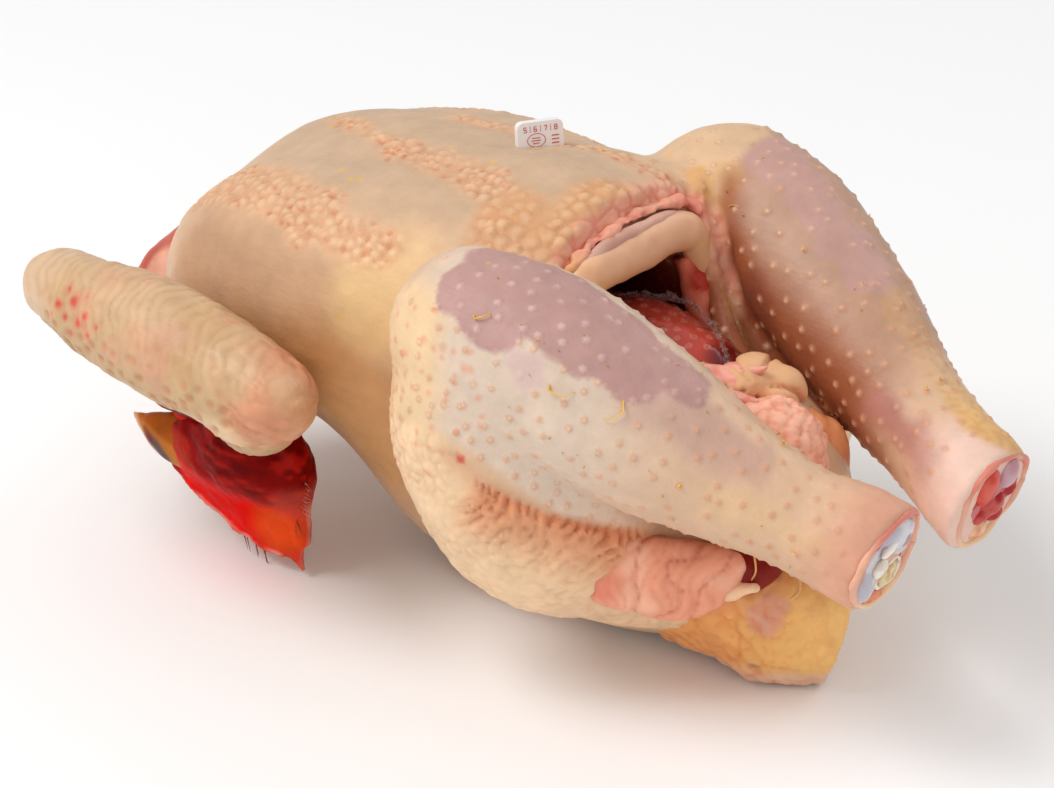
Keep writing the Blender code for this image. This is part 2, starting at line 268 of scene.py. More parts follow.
# %% Skin: a first net of triangles
def lay_skin(clay):
    value, inside = clay.value, clay.value < 0
    corners = [np.array((x, y, z)) for x in (0, 1) for y in (0, 1) for z in (0, 1)]
    size = np.array(value.shape) - 1
    count = np.zeros(size, np.int8)
    for c in corners:
        count += inside[c[0]:c[0] + size[0], c[1]:c[1] + size[1], c[2]:c[2] + size[2]]
    crossed = (count > 0) & (count < 8)
    cells = np.argwhere(crossed)
    number = np.full(size, -1)
    number[crossed] = np.arange(len(cells))
    total, hits = np.zeros((len(cells), 3)), np.zeros(len(cells))
    for a in corners:
        for axis in range(3):
            if a[axis]:
                continue
            b = a.copy()
            b[axis] = 1
            va, vb = value[tuple((cells + a).T)], value[tuple((cells + b).T)]
            cut = (va < 0) != (vb < 0)
            share = np.where(cut, va / np.where(va == vb, 1, va - vb), 0)
            place = cells + a
            place = place + share[:, None] * (b - a)
            total[cut] += place[cut]
            hits[cut] += 1
    points = clay.low + clay.step * total / hits[:, None]
    quads = []
    for axis in range(3):
        u, w = [i for i in range(3) if i != axis]
        a = np.take(inside, range(inside.shape[axis] - 1), axis)
        b = np.take(inside, range(1, inside.shape[axis]), axis)
        edge = np.argwhere(a != b)
        edge = edge[(edge[:, u] > 0) & (edge[:, w] > 0) & (edge[:, u] < size[u]) & (edge[:, w] < size[w])]
        du, dw = np.eye(3, dtype=int)[u], np.eye(3, dtype=int)[w]
        ring = np.stack([number[tuple((edge - s * du - t * dw).T)]
                         for s, t in ((0, 0), (1, 0), (1, 1), (0, 1))], 1)
        flip = a[tuple(edge.T)] == (axis == 1)
        ring[flip] = ring[flip][:, ::-1]
        quads.append(ring)
    quads = np.vstack(quads)
    one = np.linalg.norm(points[quads[:, 0]] - points[quads[:, 2]], axis=1)
    two = np.linalg.norm(points[quads[:, 1]] - points[quads[:, 3]], axis=1)
    short = (one < two)[:, None]
    first = np.where(short, quads[:, [0, 1, 2]], quads[:, [0, 1, 3]])
    second = np.where(short, quads[:, [0, 2, 3]], quads[:, [1, 2, 3]])
    return points, np.vstack([first, second])


# %% Skin: pull points onto the clay, smooth, and split long edges
def settle(clay, points, rounds=3):
    for _ in range(rounds):
        distance, slope = clay.look_up(points)
        steep = np.maximum((slope ** 2).sum(1), 0.15)
        points = points - np.clip(distance / steep, -0.2, 0.2)[:, None] * slope
    return points


def unique_edges(tris, count):
    ends = np.sort(tris[:, [0, 1, 1, 2, 2, 0]].reshape(-1, 2), axis=1)
    key, back = np.unique(ends[:, 0] * count + ends[:, 1], return_inverse=True)
    return np.stack([key // count, key % count], 1), back.reshape(-1, 3)


def neighbour_mean(values, edges, count):
    """For every point, the mean of its neighbours' values."""
    degree = np.bincount(edges.ravel(), minlength=count)
    degree = np.maximum(degree, 1)
    columns = [(np.bincount(edges[:, 0], values[edges[:, 1], i], count)
                + np.bincount(edges[:, 1], values[edges[:, 0], i], count)) / degree
               for i in range(values.shape[1])]
    return np.stack(columns, 1)


def normals_of(points, tris):
    a, b, c = points[tris[:, 0]], points[tris[:, 1]], points[tris[:, 2]]
    face = np.cross(b - a, c - a)
    total = np.stack([sum(np.bincount(tris[:, k], face[:, i], len(points)) for k in range(3))
                      for i in range(3)], 1)
    return total / np.maximum(np.linalg.norm(total, axis=1), 1e-12)[:, None]


def relax(clay, points, tris, rounds=2):
    """Evens out the net without moving it off the clay."""
    edges, _ = unique_edges(tris, len(points))
    for _ in range(rounds):
        points = points + 0.5 * (neighbour_mean(points, edges, len(points)) - points)
        points = settle(clay, points, 1)
    return points


def split_long(clay, points, tris, grain, rounds=5):
    """Splits edges longer than grain(points) until none is left."""
    for _ in range(rounds):
        edges, back = unique_edges(tris, len(points))
        middle = points[edges].mean(1)
        length = np.linalg.norm(points[edges[:, 0]] - points[edges[:, 1]], axis=1)
        long = length > 1.35 * grain(middle)
        if not long.any():
            break
        number = np.cumsum(long) - 1 + len(points)
        points = np.vstack([points, settle(clay, middle[long])])
        cut, mid = long[back], number[back]
        count = cut.sum(1)
        pieces = [tris[count == 0]]
        for k in range(3):          # one long edge: two triangles
            pick = (count == 1) & cut[:, k]
            t, m = tris[pick], mid[pick, k]
            a, b, c = t[:, k], t[:, (k + 1) % 3], t[:, (k + 2) % 3]
            pieces += [np.stack([a, m, c], 1), np.stack([m, b, c], 1)]
        for k in range(3):          # two long edges: three triangles
            pick = (count == 2) & ~cut[:, (k + 2) % 3]
            t = tris[pick]
            a, b, c = t[:, k], t[:, (k + 1) % 3], t[:, (k + 2) % 3]
            m, n = mid[pick, k], mid[pick, (k + 1) % 3]
            pieces.append(np.stack([m, b, n], 1))
            near = (np.linalg.norm(points[a] - points[n], axis=1)
                    < np.linalg.norm(points[m] - points[c], axis=1))[:, None]
            pieces.append(np.where(near, np.stack([a, m, n], 1), np.stack([a, m, c], 1)))
            pieces.append(np.where(near, np.stack([a, n, c], 1), np.stack([m, n, c], 1)))
        pick = count == 3
        t, m = tris[pick], mid[pick]
        pieces += [np.stack([t[:, 0], m[:, 0], m[:, 2]], 1), np.stack([m[:, 0], t[:, 1], m[:, 1]], 1),
                   np.stack([m[:, 2], m[:, 1], t[:, 2]], 1), m]
        tris = np.vstack(pieces)
    return relax(clay, points, tris), tris


def skin_of(clay, grain):
    points, tris = lay_skin(clay)
    points = relax(clay, settle(clay, points), tris, 4)
    return split_long(clay, points, tris, grain)


# %% [markdown]
# ## Noise, patches and bumps
# Real skin is never even. A soft value noise in space gives uneven colour and
# shape; patches are soft-edged regions that say where a colour or a texture
# goes; and feather follicles are laid out in the staggered rows in which they
# grow, each with its own small dome or pit.

# %% Noise and soft regions
def noise(points, size, seed=0):
    """Smooth value noise from -1 to 1, with blobs of about the given size."""
    q = points / size + seed * 7.31
    i = np.floor(q).astype(np.int64)
    f = q - i
    f = f * f * (3 - 2 * f)
    total = np.zeros(len(points))
    for x in (0, 1):
        for y in (0, 1):
            for z in (0, 1):
                h = ((i[:, 0] + x) * 374761393 + (i[:, 1] + y) * 668265263
                     + (i[:, 2] + z) * 2147483647 + seed * 1274126177) & 0xffffffff
                h = ((h ^ (h >> 13)) * 1274126177) & 0xffffffff
                h = ((h ^ (h >> 16)) & 0xffff) / 32767.5 - 1
                weight = np.abs(1 - x - f[:, 0]) * np.abs(1 - y - f[:, 1]) * np.abs(1 - z - f[:, 2])
                total += h * weight
    return total


def ramp(value, low, high):
    """0 below low, 1 above high, smooth between."""
    t = np.clip((value - low) / (high - low), 0, 1)
    return t * t * (3 - 2 * t)


def patch(points, middle, radii, turn=(0, 0, 0), soft=0.5, ragged=0.0, seed=0):
    """1 inside an ellipsoid, 0 outside it, fading over soft centimetres."""
    distance = lump(middle, radii, turn)[0](points)
    if ragged:
        distance = distance + ragged * (noise(points, 0.9, seed) + 0.5 * noise(points, 0.35, seed + 1))
    return 1 - ramp(distance, -soft / 2, soft / 2)


def streak(points, knots, width, soft=0.3, ragged=0.0, seed=0):
    """1 within width of a path, fading over soft."""
    rows = [(*k, 0.0) for k in knots]
    distance = limb(rows, 4)[0](points) - width
    if ragged:
        distance = distance + ragged * noise(points, 0.6, seed)
    return 1 - ramp(distance, -soft / 2, soft / 2)


# %% Rows of follicles
def staggered(u, v, inside, pitch_u, pitch_v, jitter=0.18, keep=1.0, seed=1):
    """Picks points of a skin nearest to a staggered lattice in its own u, v."""
    rng = np.random.default_rng(seed)
    pick = np.flatnonzero(inside)
    if not len(pick):
        return pick
    tree = kdtree.KDTree(len(pick))
    for n, k in enumerate(pick):
        tree.insert((u[k], v[k], 0), n)
    tree.balance()
    found = []
    rows = np.arange(v[pick].min(), v[pick].max() + pitch_v, pitch_v)
    for r, row in enumerate(rows):
        start = u[pick].min() + (r % 2) * pitch_u / 2
        for column in np.arange(start, u[pick].max() + pitch_u, pitch_u):
            shift = rng.normal(0, jitter, 2) * (pitch_u, pitch_v)
            spot = (column + shift[0], row + shift[1], 0)
            _, n, gap = tree.find(spot)
            if gap < pitch_u * 0.2 and rng.random() < keep:
                found.append(pick[n])
    return np.unique(np.array(found, int))


def nearest_two(points, centres, inside):
    """Distance to the nearest and the second nearest centre, and which is nearest."""
    first, second = np.full(len(points), EMPTY), np.full(len(points), EMPTY)
    which = np.zeros(len(points), int)
    if len(centres) < 2:
        return first, second, which
    tree = kdtree.KDTree(len(centres))
    for n, centre in enumerate(centres):
        tree.insert(centre, n)
    tree.balance()
    for k in np.flatnonzero(inside):
        (_, n, a), (_, _, b) = tree.find_n(points[k], 2)
        first[k], second[k], which[k] = a, b, n
    return first, second, which


# %% [markdown]
# ## From numbers to a mesh object
# Every piece is handed to Blender in one go, with its colour stored on its
# points. All pieces ride on the one body of this part, each with the finish
# it is given.

# %% Handing pieces to Blender
def colour(red, green, blue):
    """A colour from 0-255 values, as the linear light that shaders work in."""
    c = np.array((red, green, blue), float) / 255
    return np.where(c <= 0.04045, c / 12.92, ((c + 0.055) / 1.055) ** 2.4)


def wash(tint, paint, amount):
    """Lays a colour over a tint, as thickly as amount says."""
    return tint + (np.asarray(paint) - tint) * np.clip(amount, 0, 1)[:, None]


def make_piece(name, points, faces, finish, tint=None, wet=None):
    faces = np.asarray(faces, np.int32)
    mesh = bpy.data.meshes.new(name)
    mesh.vertices.add(len(points))
    mesh.vertices.foreach_set("co", (np.asarray(points, np.float64) * CM).ravel())
    sides = faces.shape[1]
    mesh.loops.add(faces.size)
    mesh.loops.foreach_set("vertex_index", faces.ravel())
    mesh.polygons.add(len(faces))
    mesh.polygons.foreach_set("loop_start", np.arange(0, faces.size, sides, dtype=np.int32))
    mesh.update(calc_edges=True)
    mesh.validate()
    mesh.shade_smooth()
    if tint is not None:
        layer = mesh.attributes.new("tint", "FLOAT_COLOR", "POINT")
        layer.data.foreach_set("color", np.column_stack([tint, np.ones(len(tint))]).ravel())
    if wet is not None:
        layer = mesh.attributes.new("wet", "FLOAT", "POINT")
        layer.data.foreach_set("value", np.asarray(wet, np.float64))
    mesh.materials.append(finish)
    piece = bpy.data.objects.new(name, mesh)
    bpy.context.scene.collection.objects.link(piece)
    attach(piece, "root")
    print(f"{name}: {len(points)} points, {len(faces)} faces")
    return piece


# %% [markdown]
# ## Finishes
# Skin and fat let light in a little way and scatter it, which is what makes
# them look soft; a moist film on top gives the gloss. One recipe serves every
# tissue: the painted tint, a fine uneven grain, some scattering, and a
# roughness that changes from place to place.

# %% A recipe for moist tissue
def moist_finish(name, roughness=0.42, scatter=0.12, coat=0.15, grain=0.25, grain_size=900.0,
                 mottle=0.06, base=None, wrinkles=0.0, shine=0.3, index=1.36):
    material = bpy.data.materials.new(name)
    material.use_nodes = True
    tree = material.node_tree
    shader = tree.nodes["Principled BSDF"]

    def node(kind, **settings):
        made = tree.nodes.new(kind)
        for key, value in settings.items():
            made.inputs[key].default_value = value
        return made

    place = node("ShaderNodeTexCoord")
    blotch = node("ShaderNodeTexNoise", Scale=160.0, Detail=4.0, Roughness=0.6)
    fine = node("ShaderNodeTexNoise", Scale=grain_size, Detail=3.0, Roughness=0.55)
    for texture in (blotch, fine):
        tree.links.new(place.outputs["Object"], texture.inputs["Vector"])
    if base is None:
        paint = node("ShaderNodeAttribute")
        paint.attribute_name = "tint"
        paint_out = paint.outputs["Color"]
    else:
        paint = node("ShaderNodeRGB")
        paint.outputs[0].default_value = (*base, 1)
        paint_out = paint.outputs[0]
    shade = node("ShaderNodeMapRange")
    shade.inputs["From Min"].default_value = 0.3
    shade.inputs["From Max"].default_value = 0.7
    shade.inputs["To Min"].default_value = 1 - mottle
    shade.inputs["To Max"].default_value = 1 + mottle
    tree.links.new(blotch.outputs["Fac"], shade.inputs["Value"])
    tone = node("ShaderNodeVectorMath")
    tone.operation = "SCALE"
    tree.links.new(paint_out, tone.inputs[0])
    tree.links.new(shade.outputs["Result"], tone.inputs["Scale"])
    tree.links.new(tone.outputs["Vector"], shader.inputs["Base Color"])
    gloss = node("ShaderNodeMapRange")
    gloss.inputs["From Min"].default_value = 0.3
    gloss.inputs["From Max"].default_value = 0.7
    gloss.inputs["To Min"].default_value = roughness - 0.08
    gloss.inputs["To Max"].default_value = roughness + 0.08
    tree.links.new(fine.outputs["Fac"], gloss.inputs["Value"])
    tree.links.new(gloss.outputs["Result"], shader.inputs["Roughness"])
    bump = node("ShaderNodeBump", Strength=grain, Distance=0.0004)
    tree.links.new(fine.outputs["Fac"], bump.inputs["Height"])
    last = bump
    if wrinkles:
        # fine lines that run one way: a noise squeezed along one direction
        lay = node("ShaderNodeMapping")
        lay.inputs["Rotation"].default_value = (0.25, 0.1, math.radians(48))
        lay.inputs["Scale"].default_value = (170.0, 900.0, 500.0)
        tree.links.new(place.outputs["Object"], lay.inputs["Vector"])
        lines = node("ShaderNodeTexNoise", Scale=1.0, Detail=3.0, Roughness=0.5)
        tree.links.new(lay.outputs["Vector"], lines.inputs["Vector"])
        last = node("ShaderNodeBump", Strength=wrinkles, Distance=0.0005)
        tree.links.new(lines.outputs["Fac"], last.inputs["Height"])
        tree.links.new(bump.outputs["Normal"], last.inputs["Normal"])
    tree.links.new(last.outputs["Normal"], shader.inputs["Normal"])
    shader.inputs["Subsurface Weight"].default_value = scatter
    shader.inputs["Subsurface Radius"].default_value = (1.0, 0.42, 0.25)
    shader.inputs["Subsurface Scale"].default_value = 0.0025
    shader.inputs["Coat Weight"].default_value = coat
    shader.inputs["Coat Roughness"].default_value = 0.28
    shader.inputs["Specular IOR Level"].default_value = shine
    shader.inputs["IOR"].default_value = index
    return material


skin_finish = moist_finish("skin", roughness=0.44, scatter=0.1, coat=0.06, wrinkles=0.34)

# %% [markdown]
# ## Trunk and legs
# The breast, the ribs, the rump and the thighs are one skin. The breast is a
# lobe each side of the keel; the thighs lie against it and the drumsticks fold
# back towards the tail over them. Masses that press against each other keep a
# crease, so the drumstick joins with a narrow blend and the trunk with a wide
# one.

# %% Driving sizes of the bird, in centimetres
KEEL_HEIGHT = 11.4
BREAST_FRONT = -10.1
BREAST_HALF = 5.6
RUMP_HALF = 4.0
TAIL_END = 10.8
HIP = np.array([5.4, 2.8, 3.8])
KNEE = np.array([2.75, 4.95, 9.4])
HOCK = np.array([12.9, 2.3, 5.55])
HOCK_LIFT = np.array([0, 0, 0.38])
NEAR, FAR = -1, 1               # the bird's right side is the near one
GRAIN = 0.16


def on_side(point, side):
    return np.array([point[0], point[1] * side, point[2]], float)


def along(start, end, share, shift=(0, 0, 0)):
    return start + (end - start) * share + np.array(shift, float)


# %% Trunk clay
trunk = Clay((-13.6, -9.2, -0.6), (14.8, 9.2, 12.6), GRAIN)
half = BREAST_HALF
for side in (NEAR, FAR):
    trunk.add(lump((-3.2, side * half * 0.36, 7.9), (6.7, half * 0.64, 3.05), (0, -6, side * -4)), 1.0)
trunk.add(lump((-2.4, 0, KEEL_HEIGHT - 3.3), (-2.4 - BREAST_FRONT, 2.6, 2.95), (0, -8, 0)), 1.0)
trunk.add(lump((-6.0, 0.2, KEEL_HEIGHT - 3.2), (3.4, 2.8, 2.5), (0, -14, 0)), 1.0)
trunk.add(lump((1.5, 0.5, KEEL_HEIGHT - 2.6), (3.1, half * 0.78, 2.6)), 1.0)
trunk.add(lump((-3.0, 0, 6.4), (6.8, half * 0.82, 4.0), (0, 5, 0)), 1.2)
trunk.add(lump((-0.3, 0, 3.75), (4.6, RUMP_HALF * 0.92, 3.8), (0, 2, 0)), 1.2)
trunk.add(lump((3.4, 0, 3.6), (5.9, RUMP_HALF * 0.94, 3.62), (0, 6, 0)), 1.2)
trunk.add(lump((7.2, 0.2, 5.0), (2.9, 2.3, 2.6), (0, 20, 0)), 0.8)
for side in (NEAR, FAR):
    trunk.add(lump((-7.2, side * 3.2, 6.3), (2.3, 2.0, 2.1)), 1.0)

# %% Thighs
def leg_joints(side):
    hip, knee, hock = (on_side(p, side) for p in (HIP, KNEE, HOCK + HOCK_LIFT))
    if side == FAR:
        knee += (0, 0.32, 0.34)
        hock += (-0.05, -0.2, -0.12)
    return hip, knee, hock


for side in (NEAR, FAR):
    hip, knee, hock = leg_joints(side)
    trunk.add(limb([(*hip, 2.2),
                    (*along(hip, knee, 0.25, (-0.35, side * 0.8, -0.3)), 2.7),
                    (*along(hip, knee, 0.6, (-0.4, side * 0.75, -0.4)), 2.6),
                    (*along(knee, knee, 0, (0, 0, -0.45)), 2.0)]), 1.1)

# %% The cavity
trunk.cut(lump((0.8, 0.3, 7.6), (5.0, 2.5, 2.2), (0, 8, 0)), 0.4)
trunk.cut(limb([(2.8, 0.4, 8.0, 2.1), (5.0, 0.3, 8.6, 2.0), (7.0, 0.2, 10.4, 1.9)]), 0.3)
mouth_heading = np.array([0.97, 0.0, 0.24], np.float32)
mouth_middle = np.array([3.35, 0.35, 9.5], np.float32)


def past_mouth(points):
    """The block of air between the legs, tailward of the cut breast."""
    q = points - mouth_middle
    sides = np.abs(q[..., 1]) - 2.55
    return np.maximum(np.maximum(-(q @ mouth_heading), sides), 7.4 - points[..., 2])


trunk.cut((past_mouth, mouth_middle - 3.2, mouth_middle + 4.5), 0.25)

# %% Drumsticks, and the fold of loose skin beside the far one
for side in (NEAR, FAR):
    hip, knee, hock = leg_joints(side)
    slim = 0.0 if side == NEAR else 0.3
    trunk.add(limb([(*knee, 2.0 - slim),
                    (*along(knee, hock, 0.18, (0, side * 0.15, 0.2)), 2.28 - slim),
                    (*along(knee, hock, 0.42, (0, side * 0.1 + slim * 0.4, 0.0)), 2.1 - 0.7 * slim),
                    (*along(knee, hock, 0.64, (0, side * 0.05, -0.15)), 1.6),
                    (*along(knee, hock, 0.82, (0, 0, -0.15)), 1.3 if side == NEAR else 1.38),
                    (*along(knee, hock, 0.98), 1.42),
                    (*along(knee, hock, 1.12), 1.42)]), 0.35)
    if side == FAR:
        trunk.add(lump(knee + (-1.1, -0.2, 0.2), (1.05, 1.1, 1.0)), 0.8)
FOLD = [(2.7, 3.5, 10.75), (3.1, 3.1, 10.5), (3.6, 2.88, 9.66), (4.15, 2.69, 8.48), (4.95, 2.3, 7.46), (5.8, 1.9, 6.6)]
FOLD_GAP = [(3.3, 3.35, 10.8), (3.54, 3.14, 10.39), (4.12, 2.86, 9.53), (4.63, 2.73, 8.33), (5.48, 2.41, 7.3), (6.3, 2.1, 6.4)]
trunk.add(limb([(*place, r) for place, r in zip(FOLD, (0.1, 0.2, 0.28, 0.32, 0.4, 0.45))]), 0.3)
trunk.cut(limb([(*place, r) for place, r in zip(FOLD_GAP, (0.12, 0.18, 0.22, 0.24, 0.26, 0.28))]), 0.15)

# the drumstick overhangs the loose thigh skin, with a sharp crease under it
CREASE = [(4.1, -7.35, 7.3), (4.84, -7.1, 6.75), (6.0, -6.25, 6.0), (6.7, -5.2, 5.5), (7.3, -3.9, 4.9)]
for side in (NEAR, FAR):
    trunk.cut(limb([(cx, -cy * side, cz, 0.13) for cx, cy, cz in CREASE]), 0.22)

# %% The cut shanks and the flat back
hock_faces = {}
for side, slope in ((NEAR, (0, -0.15, 0.06)), (FAR, (0, 0.28, 0.1))):
    hip, knee, hock = leg_joints(side)
    heading = (hock - knee) / np.linalg.norm(hock - knee) + np.array(slope)
    heading /= np.linalg.norm(heading)
    hock_faces[side] = (hock + heading * 0.45, heading)
    trunk.slice_off(hock + heading * 0.45, heading, 2.6, 0.12)
trunk.slice_off((0, 0, 0), (0, 0, -1), 99, 0.3)
print("trunk clay:", trunk.value.shape)


# %% [markdown]
# ## Where the feathers grew
# Feathers grow in tracts with bare skin between them. On the breast one tract
# runs from each shoulder towards the knee and one beside the keel to the
# opening; there the skin is packed with bumps. On the legs the follicles stand
# apart, in staggered rows.

# %% Feather tracts as paths on the trunk
SHOULDER_TRACT = [(-9.3, -2.9, 8.6), (-7.4, -3.3, 9.8), (-5.4, -3.7, 10.3), (-3.4, -4.2, 10.2),
                  (-2.0, -4.35, 10.1), (-1.0, -4.2, 10.1)]
KEEL_TRACT = [(-7.3, 0.1, 10.5), (-5.4, -0.5, 11.0), (-3.4, -1.0, 11.2), (-0.9, -1.2, 11.3),
              (1.6, -1.9, 11.1)]
OPENING_TRACT = [(1.4, -2.2, 10.8), (2.6, -2.6, 10.2), (3.0, -1.5, 10.8), (3.0, 0.0, 11.1)]
FAR_KEEL_TRACT = [(-4.0, 1.9, 11.2), (-1.5, 2.1, 11.4), (0.6, 2.1, 11.3), (2.2, 2.2, 11.1), (3.2, 2.5, 10.4)]
RIM = [(3.3, -2.3, 9.0), (3.2, -1.9, 10.2), (3.1, 0.0, 10.8), (3.2, 1.8, 10.9), (3.5, 2.8, 9.9),
       (3.9, 3.0, 8.6), (4.4, 3.0, 7.6)]


LILAC_NEAR = [(3.6, -5.7, 11.0), (4.4, -6.0, 10.7), (5.2, -5.5, 10.9), (6.3, -5.2, 10.6), (7.7, -4.9, 10.0)]
LILAC_NEAR_TAIL = [(7.6, -5.0, 9.9), (8.8, -4.6, 9.2), (10.2, -3.9, 8.2)]
LILAC_FAR = [(3.9, 4.9, 11.7), (5.6, 4.4, 11.4), (7.0, 4.0, 10.8), (8.2, 3.8, 10.0)]
YELLOW_STRIP = [(9.2, 3.7, 9.0), (10.2, 3.4, 8.4), (11.6, 2.9, 7.7), (12.9, 2.5, 7.4), (13.4, 2.9, 7.0)]


def mirrored(path):
    return [(x, -y, z) for x, y, z in path]


def tract_mask(points):
    """How densely the skin is packed with bumps, from 0 to 1."""
    mask = np.maximum.reduce([
        streak(points, SHOULDER_TRACT[:4], 0.85, 0.5, 0.15, 3),
        streak(points, SHOULDER_TRACT[2:], 0.62, 0.4, 0.12, 4),
        streak(points, mirrored(SHOULDER_TRACT), 0.8, 0.5, 0.15, 5),
        streak(points, KEEL_TRACT[:3], 0.28, 0.4, 0.15, 6),
        streak(points, KEEL_TRACT[2:], 0.62, 0.6, 0.2, 7),
        streak(points, OPENING_TRACT, 1.0, 0.6, 0.2, 8),
        streak(points, FAR_KEEL_TRACT, 0.45, 0.5, 0.15, 9),
        streak(points, RIM, 0.5, 0.3, 0.1, 10)])
    return mask


def thigh_mask(points):
    """The loose bumpy skin round the knees and behind and below the thighs."""
    mask = np.zeros(len(points))
    for side in (NEAR, FAR):
        path = [on_side(p, side) for p in ((2.0, 6.2, 9.0), (2.6, 6.9, 6.8), (4.0, 7.0, 4.8),
                                           (6.2, 5.4, 3.6), (7.4, 3.2, 2.6))]
        mask = np.maximum(mask, streak(points, path, 1.7, 1.0, 0.3, 11 + side))
    return mask


# %% Leg coordinates: along the bone, and round it
def leg_coordinates(points, side):
    """Share of the way from knee to hock, angle from the top (positive outwards), distance from the bone."""
    knee, hock = on_side(KNEE, side), on_side(HOCK + HOCK_LIFT, side)
    length = np.linalg.norm(hock - knee)
    bone = (hock - knee) / length
    up = np.array([0, 0, 1.0]) - bone * bone[2]
    up /= np.linalg.norm(up)
    out = np.cross(bone, up) * (1 if np.cross(bone, up)[1] * side > 0 else -1)
    q = points - knee
    t = q @ bone / length
    return t, np.arctan2(q @ out, q @ up), np.hypot(q @ out, q @ up)


def drumstick_mask(points, side):
    t, angle, away = leg_coordinates(points, side)
    reach = 2.75 - 1.15 * ramp(t, 0.35, 0.8)
    return ramp(t, -0.2, -0.05) * (1 - ramp(away, reach, reach + 0.25))


# %% Where bumps, pits and follicles stand
def first_grain(points):
    rough = np.maximum(tract_mask(points), thigh_mask(points))
    return 0.24 - 0.1 * rough


points, tris = skin_of(trunk, first_grain)
rough, loose = tract_mask(points), thigh_mask(points)
on_leg = {side: drumstick_mask(points, side) for side in (NEAR, FAR)}

slant = math.radians(35)
u = points[:, 0] * math.cos(slant) + points[:, 1] * math.sin(slant)
v = -points[:, 0] * math.sin(slant) + points[:, 1] * math.cos(slant)
above = points[:, 2] > 7.5
opening = streak(points, OPENING_TRACT, 1.3, 0.3, 0.2, 8) > 0.5
bump_middles = [points[staggered(u, v, (rough > 0.35) & above & ~opening, 0.3, 0.26, 0.25, 0.95, 5)],
                points[staggered(v, u, (rough > 0.35) & above & opening, 0.5, 0.32, 0.25, 1.0, 6)]]
for side in (NEAR, FAR):
    where = (loose > 0.35) & (points[:, 1] * side > 2.2) & (on_leg[side] < 0.5) & (rough < 0.4)
    bump_middles.append(points[staggered(points[:, 0], points[:, 2], where, 0.34, 0.28, 0.25, 0.95, 7 + side)])
bumps = np.vstack(bump_middles)
pits = points[staggered(u, v, (rough > 0.55) & above & ~opening, 0.44, 0.36, 0.25, 0.8, 15)]

dots, knee_dots = [], []
for side in (NEAR, FAR):
    t, angle, away = leg_coordinates(points, side)
    where = (on_leg[side] > 0.6) & (t < 0.97)
    picked = staggered(t * 10.9, angle * away, where & (away > 1.0), 0.66, 0.52, 0.2, 0.9, 20 + side)
    dots.append(points[picked])
    outer = patch(points, on_side((2.9, 7.1, 8.5), side), (1.9, 1.5, 2.3), soft=0.3) > 0.5
    knee_dots.append(points[staggered(points[:, 0] - 0.3 * points[:, 2], points[:, 2], outer, 0.62, 0.46, 0.3, 0.8, 30 + side)])
dots, knee_dots = np.vstack(dots), np.vstack(knee_dots)
print(len(bumps), "bumps and", len(pits), "pits in the tracts,", len(dots), "follicles on the legs")


# %% Skin over the trunk
def finer_grain(points):
    rough = np.maximum(tract_mask(points), 0.85 * thigh_mask(points))
    grain = 0.25 - 0.165 * rough
    legs = np.maximum(drumstick_mask(points, NEAR), drumstick_mask(points, FAR)) > 0.3
    near, _, _ = nearest_two(points, dots, legs)
    grain = np.minimum(grain, 0.25 - 0.13 * streak(points, LILAC_NEAR + LILAC_NEAR_TAIL, 1.2, 0.2))
    for path in (CREASE, mirrored(CREASE), FOLD_GAP):
        grain = np.minimum(grain, 0.25 - 0.16 * streak(points, path, 0.25, 0.2))
    return np.where(near < 0.16, 0.075, grain)


points, tris = split_long(trunk, points, tris, finer_grain, 3)
print("trunk skin:", len(points), "points", len(tris), "triangles")

# %% [markdown]
# ## Relief
# Each bump is a low cushion that meets its neighbours in a crease. Each leg
# follicle is a small dome. Below the drumstick the thigh skin is gathered in
# pleats. All of it moves the points of the skin along its own direction, so it
# is in the shape and shows in the outline.

# %% Relief on the trunk
normals = normals_of(points, tris)
rough, loose = tract_mask(points), thigh_mask(points)
on_leg = {side: drumstick_mask(points, side) for side in (NEAR, FAR)}
legs = np.maximum(on_leg[NEAR], on_leg[FAR])

near, second, _ = nearest_two(points, bumps, (rough > 0.02) | (loose > 0.02))
crease = 1 - ramp(second - near, 0.0, 0.13)
cushion = np.clip(1 - (near / 0.24) ** 2, 0, 1)
uneven = 0.75 + 0.5 * noise(points, 0.9, 35)
packed = np.maximum(rough, 0.75 * loose * (1 - legs)) * np.clip(uneven, 0.3, 1.3)
height = packed * (0.055 * cushion - 0.045 * crease)
pit_gap, _, _ = nearest_two(points, pits, rough > 0.2)
pit = np.clip(1 - (pit_gap / 0.11) ** 2, 0, 1) * rough
height -= 0.04 * pit

dot_gap, _, dot_number = nearest_two(points, dots, legs > 0.3)
dome = np.clip(1 - (dot_gap / 0.12) ** 2, 0, 1) ** 1.5
knee_gap, _, _ = nearest_two(points, knee_dots, patch(points, (2.9, -7.1, 8.5), (3, 3, 3.5), soft=1)
                             + patch(points, (2.9, 7.1, 8.5), (3, 3, 3.5), soft=1) > 0.1)
knee_dot = np.clip(1 - (knee_gap / 0.11) ** 2, 0, 1)
height += 0.05 * dome + 0.02 * knee_dot

# a scaly strip down the outside of the far shank
strip = streak(points, YELLOW_STRIP, 0.55, 0.3, 0.15, 69)
scale_near, scale_second, _ = nearest_two(points, points[staggered(points[:, 0], points[:, 1], strip > 0.3, 0.3, 0.3, 0.25, 1.0, 70)], strip > 0.05)
scale_crease = 1 - ramp(scale_second - scale_near, 0, 0.12)
height += strip * (0.015 - 0.025 * scale_crease)

height += 0.04 * noise(points, 1.4, 31) + 0.02 * noise(points, 0.5, 32)

